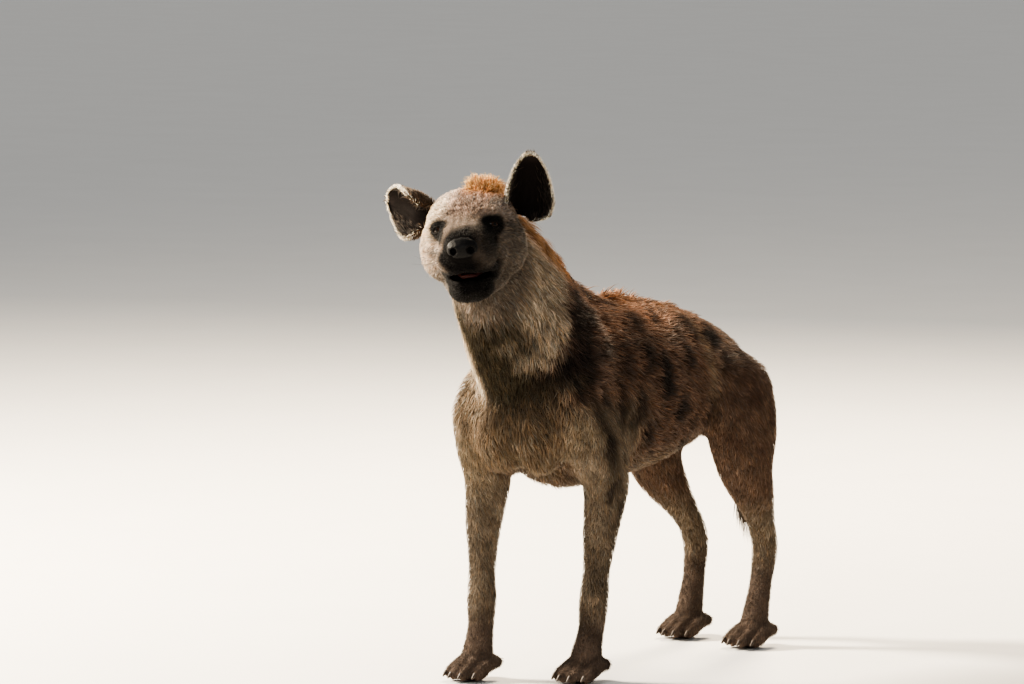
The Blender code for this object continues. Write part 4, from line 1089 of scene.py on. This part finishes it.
def makeEar(side):
    origin, turn = earFrame(side)
    rows, columns = earDims["rows"], earDims["columns"]
    cup = smoothRows(earDims["cup"], rows + 1)
    u = np.linspace(-1, 1, columns + 1)
    sheets = {"inner": [], "outer": []}
    for v, half, degrees in cup:
        angle = math.radians(degrees)
        radius = half * earDims["width"] / 2 / math.sin(min(angle, math.pi / 2))
        rim = np.maximum(np.abs(u), v)
        wall = earDims["rootWall"] + (earDims["rimWall"] - earDims["rootWall"]) * rim
        way = np.stack([np.sin(angle * u), np.cos(angle * u), np.zeros_like(u)], axis=1)
        middle = np.array((0, -radius, v * earDims["length"]))
        # Two long folds inside the cup that fade towards the tip, and a rim that rolls a little inwards.
        folds = 0.0042 * np.exp(-((u + 0.30 - 0.25 * v) / 0.10) ** 2)
        folds = folds + 0.0032 * np.exp(-((u - 0.34 + 0.2 * v) / 0.09) ** 2)
        folds = folds * ramp(np.array([v]), 0.72, 0.25)
        roll = 0.0016 * np.exp(-((1 - np.abs(u)) / 0.10) ** 2) + 0.0012 * np.exp(-((1 - v) / 0.08) ** 2)
        sheets["inner"].append(middle + way * (radius - folds - roll)[:, None])
        sheets["outer"].append(middle + way * (radius + wall - roll)[:, None])
    sheets = {name: np.array(rows) for name, rows in sheets.items()}
    both = np.concatenate([sheets["inner"].reshape(-1, 3), sheets["outer"].reshape(-1, 3)])
    bend = turnRows @ np.array(earDims["stands"][side][3]) * headUnit
    share = np.tile(np.repeat((1 - np.minimum(cup[:, 0] / earDims["bent"], 1)) ** 2, columns + 1), 2)
    points = both @ turn.T + origin + bend * share[:, None]
    wide, size = columns + 1, (rows + 1) * (columns + 1)
    faces = gridFaces(rows, columns)
    faces += [tuple(size + corner for corner in face[::-1]) for face in faces]
    border = [*range(columns), *(i * wide + columns for i in range(rows))]
    border += [*(rows * wide + k for k in range(columns, 0, -1)), *(i * wide for i in range(rows, 0, -1))]
    faces += [(a, a + size, b + size, b) for a, b in zip(border, border[1:] + border[:1])]
    ear = newObject(f"{side}Ear", points, np.array(faces))
    with edited(ear.data) as bm:
        bmesh.ops.recalc_face_normals(bm, faces=bm.faces[:])
    ear.data.shade_smooth()
    v = np.repeat(cup[:, 0], columns + 1)
    rim = np.maximum(np.abs(np.tile(u, rows + 1)), v)
    inside = np.array(earDims["inside"]) * (1 + 1.6 * ramp(rim, 0.8, 1.0))[:, None]
    outside = np.array(earDims["back"]) * (1 - 0.5 * ramp(rim, 0.7, 1.0))[:, None]
    storeColour(ear.data, "coatColour", np.concatenate([inside, outside]))
    return ear, rim, v, np.tile(u, rows + 1)


def makeEarFur(side, ear, rim, v, u):
    points, triangles, normals = pointsOf(ear.data), trianglesOf(ear.data), normalsOf(ear.data)
    _, turn = earFrame(side)
    outer = np.arange(len(points)) >= len(rim)
    rim, v, u = np.tile(rim, 2), np.tile(v, 2), np.tile(u, 2)
    up = np.tile(turn[:, 2], (len(points), 1))
    outward = unitRows(turn[:, 0] * u[:, None] * 0.9 + up * (0.35 + v[:, None]))
    spotsMap = np.stack([0.25 + 0.24 * u, 0.02 + 0.96 * v], axis=1)
    spotsMap[outer] += (0.5, 0.0)
    kinds = {
        # where it grows, and how it lies
        "Back": (outer * 1.0, up),
        "Rim": (ramp(rim, 0.95, 1.0) * ramp(v, 0.0, 0.15), outward),
        "Inner": (~outer * ramp(np.abs(u), 0.35, 0.95) * ramp(v, 0.85, 0.35),
                  -turn[:, 0] * np.sign(u)[:, None] * 0.55 + up),
    }
    made = []
    for name, (where, lie) in kinds.items():
        count, length, width, rise, colour = earDims["fur"][name]
        spots = scattered(points, triangles, where, count, 60 + len(made))
        values = (points, normals, lie, spotsMap)
        root, normal, way, uv = (readAt(rows, triangles, spots) for rows in values)
        normal = unitRows(normal)
        hair = Hair(root, normal, laidFlat(way, normal), length, width, rise, np.tile(colour, (count, 1)), uv,
                    70 + len(made))
        hair.turned(0.25)
        hair.clumped(8, 0.35)
        hair.toned(0.28, 0.1)
        made.append(hair.mesh(f"{side}Ear{name}Fur", np.arange(count), sunk=0.0008, tones=(0.6, 1.0, 1.3)))
    return made


ears, earFur = {}, []
for side in sides:
    ears[side], *shape = makeEar(side)
    earFur += makeEarFur(side, ears[side], *shape)
print("ears made")


# Eyes and lids.
def makeEye(side):
    centre, turn = eyePlace(side)
    rings, around = eyeDims["rings"], eyeDims["around"]
    points, colours = [], []
    iris, pupil = (math.asin(eyeDims[name] / eyeDims["radius"]) for name in ("iris", "pupil"))
    draw = np.random.default_rng(81)
    streaks = 1 + 0.25 * draw.normal(size=around)
    for i in range(rings + 1):
        angle = math.pi * (i / rings) ** 1.35
        radius = eyeDims["radius"] + eyeDims["bulge"] * max(0, 1 - (angle / (1.3 * iris)) ** 2) ** 2
        for k in range(around):
            turned = 2 * math.pi * k / around
            out = math.sin(angle)
            way = np.array((out * math.cos(turned), -math.cos(angle), out * math.sin(turned)))
            points.append(way * radius)
            if angle < pupil:
                colours.append(eyeDims["pupilColour"])
            elif angle < iris:
                ring = (angle - pupil) / (iris - pupil)
                shade = streaks[k] * (1.15 - 0.9 * ring ** 3)
                colours.append(np.array(eyeDims["irisColour"]) * shade)
            else:
                colours.append(eyeDims["rimColour"])
    points = np.array(points) @ turn.T + centre
    eye = newObject(f"{side}Eyeball", points, np.array(gridFaces(rings, around, wraps=True)))
    storeColour(eye.data, "coatColour", np.clip(colours, 0, 1))
    with edited(eye.data) as bm:
        bmesh.ops.remove_doubles(bm, verts=bm.verts[:], dist=1e-6)
        bmesh.ops.recalc_face_normals(bm, faces=bm.faces[:])
    eye.data.shade_smooth()
    return eye


lidDims = {
    # how much wider than the slit each row is, and how far it lies over the eyeball
    "rows": ((0.94, 0.0001), (1.0, 0.0012), (1.14, 0.0024), (1.40, 0.0031), (1.75, 0.0029), (2.15, 0.0016),
             (2.5, -0.002)),
    "around": 64,
    "thickness": 0.0008,
    "reach": 0.96,       # share of the eyeball's radius that a lid goes aside at most
    "corner": 1.22,      # how far the inner corner draws out towards the nose
}


def makeLids(side):
    centre, turn = eyePlace(side)
    sign = sides[side]
    around = lidDims["around"]
    tilt = math.radians(eyeDims["slitTilt"] * sign)
    points = []
    for wider, over in lidDims["rows"]:
        for k in range(around):
            angle = 2 * math.pi * k / around
            c, s = math.cos(angle), math.sin(angle)
            x = eyeDims["slitWidth"] / 2 * c * (lidDims["corner"] if c * sign < 0 else 1) * (wider ** 0.55)
            z = eyeDims["slitHeight"] / 2 * s * (1 - 0.3 * abs(c)) * wider
            x, z = x * math.cos(tilt) + z * math.sin(tilt), z * math.cos(tilt) - x * math.sin(tilt)
            radius = eyeDims["radius"] + over
            kept = min(1, radius * lidDims["reach"] / math.hypot(x, z))
            x, z = x * kept, z * kept
            points.append((x, -math.sqrt(radius ** 2 - x * x - z * z), z))
    points = np.array(points) @ turn.T + centre
    faces = gridFaces(len(lidDims["rows"]) - 1, around, wraps=True)
    lids = newObject(f"{side}Lids", points, np.array(faces))
    with edited(lids.data) as bm:
        bmesh.ops.recalc_face_normals(bm, faces=bm.faces[:])
        outward = sum(face.normal.dot(face.calc_center_median() - Vector(centre)) for face in bm.faces)
        if outward < 0:
            bmesh.ops.reverse_faces(bm, faces=bm.faces[:])
    thick = lids.modifiers.new("thickness", "SOLIDIFY")
    thick.thickness = lidDims["thickness"]
    thick.offset = -1
    applied(lids)
    lids.data.shade_smooth()
    return lids


def sinkUnderEyes():
    # The skin drops back inside the slit, so that only the eyeball shows there.
    for side in sides:
        centre, turn = eyePlace(side)
        local = (skinPoints - centre) @ turn
        tilt = math.radians(eyeDims["slitTilt"] * sides[side])
        x = local[:, 0] * math.cos(tilt) - local[:, 2] * math.sin(tilt)
        z = local[:, 2] * math.cos(tilt) + local[:, 0] * math.sin(tilt)
        inside = np.hypot(x / (eyeDims["slitWidth"] / 2), z / (eyeDims["slitHeight"] / 2))
        near = (local[:, 1] < 0) & (np.linalg.norm(local, axis=1) < 0.022)
        share = ramp(inside, 2.0, 1.35) * near
        skinPoints[:] = skinPoints + turn[:, 1] * (eyeDims["sink"] * share)[:, None]
    setPoints(skin.data, skinPoints)


eyes = {side: makeEye(side) for side in sides}
lids = {side: makeLids(side) for side in sides}
sinkUnderEyes()
print("eyes and lids made")


# Nose pad, tongue and claws: the solids' own shapes, made round.
roundDims = {
    # grid, how much smaller each gets, and how often it is smoothed
    "nose": (0.0011, -0.0006, 2),
    "tongue": (0.0012, 0.0, 4),
    "claw": (0.0007, 0.0, 5),
}


def roundedCopy(name, node):
    step, shrink, smooth = roundDims[node.split("_")[0]]
    points, triangles = joinedNodes([node], step)
    corners, _, quads = levelSet(points, step, triangles=triangles).convertToPolygons(isovalue=-shrink)
    obj = newObject(name, corners, quads)
    with edited(obj.data) as bm:
        keepMainShell(bm)
        for _ in range(smooth):
            bmesh.ops.smooth_vert(bm, verts=bm.verts[:], factor=0.5, use_axis_x=True, use_axis_y=True,
                                  use_axis_z=True)
        bmesh.ops.recalc_face_normals(bm, faces=bm.faces[:])
    obj.data.shade_smooth()
    return obj


nosePad = roundedCopy("nosePad", "nose")
tongueFlesh = roundedCopy("tongueFlesh", "tongue")
claws = []
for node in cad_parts:
    if node.startswith("claw_"):
        name = "claw" + "".join(word.capitalize() for word in node.split("_")[1:])
        claws.append((roundedCopy(name, node), node))
print("nose, tongue and claws made")


# Whiskers, by Geometry Nodes: one tapered bristle on each spot, turned to its own aim.
whiskerDims = {
    "length": 0.050,
    "thickness": 0.00042,
    "bend": 0.30,
    "sideways": 0.172,     # no bristle reaches further to a side
    "seed": 4,
    "rows": (-1.3, -2.2, -3.1, -3.9),          # heights of the rows on the whisker pads
    "columns": (-18.2, -17.2, -16.1, -15.0),   # how far ahead each bristle of a row stands
    "brows": ((3.2, -10.6, 5.0), (4.2, -9.8, 5.2), (3.7, -10.2, 5.6)),
}


def whiskerSpots():
    points, aims = [], []
    tree = KDTree(len(skinPoints))
    for i, point in enumerate(skinPoints):
        tree.insert(point, i)
    tree.balance()
    draw = np.random.default_rng(whiskerDims["seed"])
    for sign in sides.values():
        pads = [(3.9, y + 0.25 * row, z)
                for row, z in enumerate(whiskerDims["rows"]) for y in whiskerDims["columns"]]
        for i, (x, y, z) in enumerate([*pads, *whiskerDims["brows"]]):
            x, y, z = np.array((x, y, z)) + draw.normal(0, 0.12, 3)
            spot = tree.find(headPoint(x * sign, y, z))[1]
            back = turnRows @ np.array((0.25 * sign, 0.75, -0.28 if i < len(pads) else 0.6))
            aim = skinNormals[spot] * 0.75 + back + draw.normal(0, 0.10, 3)
            size = 1.0 if i < len(pads) else 0.6
            aim /= np.linalg.norm(aim)
            room = whiskerDims["sideways"] - skinPoints[spot][0] * np.sign(aim[0])
            size = min(size, room / max(abs(aim[0]) * whiskerDims["length"] * 1.1, 1e-6))
            points.append(skinPoints[spot] - skinNormals[spot] * 0.001)
            aims.append(aim * size)
    return np.array(points), np.array(aims)


def growthTree():
    tree = bpy.data.node_groups.new("bristles", "GeometryNodeTree")
    for name, way, kind in (
        ("Geometry", "INPUT", "Geometry"), ("length", "INPUT", "Float"), ("thickness", "INPUT", "Float"),
        ("bend", "INPUT", "Float"), ("seed", "INPUT", "Int"), ("finish", "INPUT", "Material"),
        ("Geometry", "OUTPUT", "Geometry"),
    ):
        tree.interface.new_socket(name, in_out=way, socket_type=f"NodeSocket{kind}")

    def node(kind, settings=None, inputs=None, output=0):
        made = tree.nodes.new(kind)
        for name, value in (settings or {}).items():
            setattr(made, name, value)
        for name, value in (inputs or {}).items():
            if isinstance(value, bpy.types.NodeSocket):
                tree.links.new(value, made.inputs[name])
            else:
                made.inputs[name].default_value = value
        return made.outputs[output] if made.outputs else None

    def maths(operation, *values):
        return node("ShaderNodeMath", {"operation": operation}, dict(enumerate(values)))

    start = tree.nodes.new("NodeGroupInput").outputs
    swing = maths("MULTIPLY", start["length"], start["bend"])
    tip = node("ShaderNodeCombineXYZ", None, {"X": swing, "Z": start["length"]})
    straight = node("ShaderNodeCombineXYZ", None, {"Z": start["length"]})
    half = node("ShaderNodeVectorMath", {"operation": "SCALE"}, {0: straight, "Scale": 0.6})
    line = node("GeometryNodeCurvePrimitiveBezierSegment", None,
                {"Resolution": 9, "Start": (0, 0, 0), "Start Handle": half, "End Handle": half, "End": tip})
    along = node("GeometryNodeSplineParameter", output="Factor")
    size = maths("MULTIPLY", maths("MULTIPLY_ADD", along, -0.9, 1.0), start["thickness"])
    tapered = node("GeometryNodeSetCurveRadius", None, {"Curve": line, "Radius": size})
    ring = node("GeometryNodeCurvePrimitiveCircle", None, {"Resolution": 5, "Radius": 1.0})
    bristle = node("GeometryNodeCurveToMesh", None,
                   {"Curve": tapered, "Profile Curve": ring, "Scale": size, "Fill Caps": True})
    aim = node("GeometryNodeInputNamedAttribute", {"data_type": "FLOAT_VECTOR"}, {"Name": "aim"}, "Attribute")
    turn = node("FunctionNodeAlignRotationToVector", {"axis": "Z"}, {"Vector": aim})
    vary = node("FunctionNodeRandomValue", {"data_type": "FLOAT"},
                {"Seed": start["seed"], 2: 0.65, 3: 1.1}, 1)
    reach = node("ShaderNodeVectorMath", {"operation": "LENGTH"}, {0: aim}, "Value")
    spots = node("GeometryNodeMeshToPoints", None, {"Mesh": start["Geometry"]})
    scale = maths("MULTIPLY", vary, reach)
    placed = node("GeometryNodeInstanceOnPoints", None,
                  {"Points": spots, "Instance": bristle, "Rotation": turn, "Scale": scale})
    real = node("GeometryNodeRealizeInstances", None, {"Geometry": placed})
    worn = node("GeometryNodeSetMaterial", None, {"Geometry": real, "Material": start["finish"]})
    node("NodeGroupOutput", None, {"Geometry": worn})
    return tree


def makeWhiskers(finish):
    points, aims = whiskerSpots()
    whiskers = newObject("whiskers", points, np.zeros((0, 3), int))
    layer = whiskers.data.attributes.new("aim", "FLOAT_VECTOR", "POINT")
    layer.data.foreach_set("vector", aims.astype(np.float32).ravel())
    grow = whiskers.modifiers.new("bristles", "NODES")
    grow.node_group = growthTree()
    values = {**whiskerDims, "finish": finish}
    for item in grow.node_group.interface.items_tree:
        if item.in_out == "INPUT" and item.name in values:
            grow[item.identifier] = values[item.name]
    applied(whiskers)
    whiskers.data.shade_smooth()
    return whiskers


# Finishes. A Wire is a socket; sums of Wires and numbers add Math nodes.
class Wire:
    def __init__(self, finish, socket):
        self.finish = finish
        self.socket = socket

    def maths(self, operation, *others, swap=False):
        values = [self, *others]
        if swap:
            values.reverse()
        return self.finish.node("Math", {"operation": operation}, dict(enumerate(values)))

    def __add__(self, other):
        return self.maths("ADD", other)

    __radd__ = __add__

    def __sub__(self, other):
        return self.maths("SUBTRACT", other)

    def __rsub__(self, other):
        return self.maths("SUBTRACT", other, swap=True)

    def __mul__(self, other):
        return self.maths("MULTIPLY", other)

    __rmul__ = __mul__

    def between(self, low, high):
        return self.finish.node("MapRange", {"interpolation_type": "SMOOTHSTEP"}, {0: self, 1: low, 2: high})


class Finish:
    # One material and its nodes.
    def __init__(self, name):
        self.material = bpy.data.materials.new(name)
        self.material.use_nodes = True
        self.tree = self.material.node_tree
        self.shader = self.tree.nodes["Principled BSDF"]
        self.place = self.node("TexCoord", output="Object")

    def node(self, kind, settings=None, inputs=None, output=0):
        node = self.tree.nodes.new(f"ShaderNode{kind}")
        for name, value in (settings or {}).items():
            setattr(node, name, value)
        for name, value in (inputs or {}).items():
            self.put(node.inputs[name], value)
        return Wire(self, node.outputs[output])

    def put(self, socket, value):
        if isinstance(value, Wire):
            self.tree.links.new(value.socket, socket)
        elif isinstance(value, tuple) and len(value) == 3 and socket.type == "RGBA":
            socket.default_value = (*value, 1)
        else:
            socket.default_value = value

    def noise(self, scale, detail):
        values = {"Vector": self.place, "Scale": scale, "Detail": detail, "Roughness": 0.55}
        return self.node("TexNoise", None, values)

    def attribute(self, name):
        return self.node("Attribute", {"attribute_name": name}, output="Color")

    def scaled(self, colour, factor):
        # A colour times a number that changes over the surface.
        return self.node("VectorMath", {"operation": "SCALE"}, {0: colour, "Scale": factor})

    def mixed(self, factor, a, b):
        mix = self.tree.nodes.new("ShaderNodeMix")
        mix.data_type = "RGBA"
        for socket, value in ((mix.inputs[0], factor), (mix.inputs[6], a), (mix.inputs[7], b)):
            self.put(socket, value)
        return Wire(self, mix.outputs[2])

    def bump(self, height, strength, distance):
        return self.node("Bump", None, {"Height": height, "Strength": strength, "Distance": distance})

    def made(self, **inputs):
        for name, value in inputs.items():
            self.put(self.shader.inputs[name.replace("_", " ")], value)
        return self.material


def hairFinish(name, sheen=0.0):
    look = Finish(name)
    fleck = look.noise(420.0, 2.0)
    colour = look.scaled(look.attribute("hairColour"), fleck * 0.5 + 0.75)
    return look.made(Base_Color=colour, Roughness=look.noise(90.0, 2.0) * 0.2 + 0.5,
                     Specular_IOR_Level=0.10, Sheen_Weight=sheen, Sheen_Roughness=0.4)


def hideFinish():
    look = Finish("hide")
    fine = look.noise(300.0, 5.0)
    broad = look.noise(28.0, 3.0)
    colour = look.scaled(look.attribute("coatColour"), fine * 0.7 + broad * 0.3 + 0.40)
    pits = look.node("TexVoronoi", None, {"Vector": look.place, "Scale": 420.0})
    height = fine * 0.7 + pits * 0.5
    return look.made(Base_Color=colour, Roughness=0.80 - fine * 0.3, Normal=look.bump(height, 0.6, 0.0012),
                     Specular_IOR_Level=0.03)


def noseFinish():
    look = Finish("noseLeather")
    cells = look.node("TexVoronoi", {"feature": "SMOOTH_F1"},
                      {"Vector": look.place, "Scale": 520.0, "Smoothness": 0.3})
    fine = look.noise(900.0, 3.0)
    wet = look.noise(60.0, 2.0).between(0.4, 0.7)
    colour = look.mixed(cells.between(0.1, 0.6), (0.0020, 0.0019, 0.0019), (0.0044, 0.0041, 0.0041))
    height = cells * -1.0 + fine * 0.15
    return look.made(Base_Color=colour, Roughness=0.50 - wet * 0.20, Normal=look.bump(height, 0.6, 0.0011),
                     Specular_IOR_Level=0.09)


def wetFinish(name, dark, light, roughness, shine=0.5):
    look = Finish(name)
    fine = look.noise(260.0, 4.0)
    colour = look.mixed(fine.between(0.3, 0.7), dark, light)
    return look.made(Base_Color=colour, Roughness=fine * 0.2 + roughness, Normal=look.bump(fine, 0.5, 0.0006),
                     Specular_IOR_Level=shine)


def eyeFinish():
    look = Finish("eyeBrown")
    fine = look.noise(1500.0, 3.0)
    colour = look.scaled(look.attribute("coatColour"), fine * 0.8 + 0.6)
    return look.made(Base_Color=colour, Roughness=0.16 + fine * 0.03, Coat_Weight=0.06, Coat_Roughness=0.03,
                     Specular_IOR_Level=0.10)


def earFinish():
    look = Finish("earHide")
    fine = look.noise(380.0, 5.0)
    colour = look.scaled(look.attribute("coatColour"), fine * 1.2 + 0.4)
    return look.made(Base_Color=colour, Roughness=0.85 - fine * 0.2, Normal=look.bump(fine, 0.6, 0.0010),
                     Specular_IOR_Level=0.02)


def clawFinish():
    look = Finish("clawHorn")
    drawnOut = look.node("Mapping", None, {"Vector": look.place, "Scale": (900.0, 90.0, 300.0)})
    streak = look.node("TexNoise", None, {"Vector": drawnOut, "Scale": 1.0, "Detail": 4.0})
    colour = look.mixed(streak.between(0.3, 0.7), (0.022, 0.016, 0.012), (0.085, 0.060, 0.043))
    return look.made(Base_Color=colour, Roughness=0.35 + streak * 0.2, Normal=look.bump(streak, 0.3, 0.0005))


def floorFinish():
    look = Finish("studioFloor")
    soft = look.noise(3.0, 3.0)
    colour = look.mixed(soft, (0.70, 0.69, 0.67), (0.75, 0.74, 0.72))
    return look.made(Base_Color=colour, Roughness=0.9)


def wear(obj, material):
    obj.data.materials.clear()
    obj.data.materials.append(material)


storeColour(skin.data, "coatColour", np.clip(coat["colour"], 0, 1))
skin.data.shade_smooth()
fur = hairFinish("fur")
longFur = hairFinish("longFur", 0.04)
wear(skin, hideFinish())
for piece, _ in coatPieces:
    wear(piece, fur)
for piece, _ in longPieces:
    wear(piece, longFur)
earHide = earFinish()
for side in sides:
    wear(ears[side], earHide)
for piece in earFur:
    wear(piece, fur)
eyeBrown = eyeFinish()
lidSkin = wetFinish("lidSkin", (0.003, 0.0025, 0.0023), (0.006, 0.005, 0.0045), 0.5, 0.03)
for side in sides:
    wear(eyes[side], eyeBrown)
    wear(lids[side], lidSkin)
wear(nosePad, noseFinish())
wear(tongueFlesh, wetFinish("tongueWet", (0.10, 0.030, 0.027), (0.19, 0.065, 0.055), 0.25))
whiskers = makeWhiskers(wetFinish("whiskerBlack", (0.010, 0.008, 0.007), (0.045, 0.038, 0.032), 0.35))
print("whiskers", len(whiskers.data.polygons), "faces")
horn = clawFinish()
for piece, _ in claws:
    wear(piece, horn)
print("finishes made")


# What each piece stands for and rides on.
for piece, nodes, slot in (
    (skin, fleshNodes, "coat"),
    (ears["left"], ["ear_left"], "dark_hide"), (ears["right"], ["ear_right"], "dark_hide"),
    (eyes["left"], ["eye_left"], "eye"), (eyes["right"], ["eye_right"], "eye"),
    (nosePad, ["nose"], "wet_hide"), (tongueFlesh, ["tongue"], "tongue"),
    *((piece, [node], "claw") for piece, node in claws),
):
    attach(piece, "root")
    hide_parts(*nodes)
darkPieces = [(piece, "dark_hide") for piece in (*earFur, *lids.values(), whiskers)]
for piece, slot in (*coatPieces, *longPieces, *darkPieces):
    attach(piece, "root")


# Floor, lights and camera.
sceneDims = {
    "floorSize": 160.0,
    "floorCells": 24,
    "picture": (1024, 684),            # in pixels
    "withers": (0, 0, 74.5),
    "withersPixel": (556.0, 288.0),    # where the withers lie in the picture
    "pixelsPerMetre": 525.0,
    "azimuth": 36.0,
    "height": 5.5,
    "distance": 12.0,
    "sensor": 36.0,
}


def makeFloor():
    size, cells = sceneDims["floorSize"], sceneDims["floorCells"]
    steps = np.linspace(-size / 2, size / 2, cells + 1)
    xs, ys = np.meshgrid(steps, steps, indexing="ij")
    points = np.stack([xs.ravel(), ys.ravel(), np.zeros(xs.size)], axis=1)
    floor = newObject("floor", points, np.array(gridFaces(cells, cells))[:, [0, 3, 2, 1]])
    wear(floor, floorFinish())


def makeCamera():
    azimuth, height = (math.radians(sceneDims[name]) for name in ("azimuth", "height"))
    flat = math.cos(height)
    away = Vector((math.sin(azimuth) * flat, -math.cos(azimuth) * flat, math.sin(height)))
    right = Vector((math.cos(azimuth), math.sin(azimuth), 0))
    up = away.cross(right)
    x, y = sceneDims["withersPixel"]
    wide, high = sceneDims["picture"]
    perMetre = sceneDims["pixelsPerMetre"]
    target = bodyPoint(*sceneDims["withers"]) + right * ((wide / 2 - x) / perMetre)
    target -= up * ((high / 2 - y) / perMetre)
    data = bpy.data.cameras.new("camera")
    data.sensor_width = sceneDims["sensor"]
    data.lens = sceneDims["sensor"] * sceneDims["distance"] / (wide / perMetre)
    data.clip_end = 100
    camera = bpy.data.objects.new("camera", data)
    bpy.context.scene.collection.objects.link(camera)
    turn = Matrix((right, up, away)).transposed().to_4x4()
    camera.matrix_world = Matrix.Translation(target + away * sceneDims["distance"]) @ turn
    bpy.context.scene.camera = camera
    return right, away


lightDims = {
    # to the picture's right, towards the camera, up, size, watts, colour
    "sun": (-4.6, -1.5, 2.5, 1.2, 1650.0, (1.0, 0.87, 0.69)),
    "rim": (1.2, -4.0, 3.4, 1.6, 720.0, (1.0, 0.82, 0.60)),
    "fill": (-1.6, 4.4, 2.2, 1.5, 90.0, (1.0, 0.97, 0.93)),
}
worldDims = {"colour": (0.88, 0.88, 0.87), "strength": 0.54}


def makeLights(right, away):
    middle = bodyPoint(0, 5, 50)
    flat = Vector((away.x, away.y, 0)).normalized()
    for name, (aside, near, high, size, watts, colour) in lightDims.items():
        data = bpy.data.lights.new(name, "AREA")
        data.shape = "DISK"
        data.size, data.energy, data.color = size, watts, colour
        light = bpy.data.objects.new(name, data)
        light.location = middle + right * aside + flat * near + Vector((0, 0, high))
        light.rotation_euler = (middle - light.location).to_track_quat("-Z", "Y").to_euler()
        bpy.context.scene.collection.objects.link(light)
    world = bpy.data.worlds.new("studio")
    world.use_nodes = True
    background = world.node_tree.nodes["Background"].inputs
    background["Color"].default_value = (*worldDims["colour"], 1)
    background["Strength"].default_value = worldDims["strength"]
    bpy.context.scene.world = world


makeFloor()
makeLights(*makeCamera())
bpy.context.scene.view_settings.view_transform = "AgX"
bpy.context.scene.view_settings.look = "AgX - Medium High Contrast"
print("floor, lights and camera set")
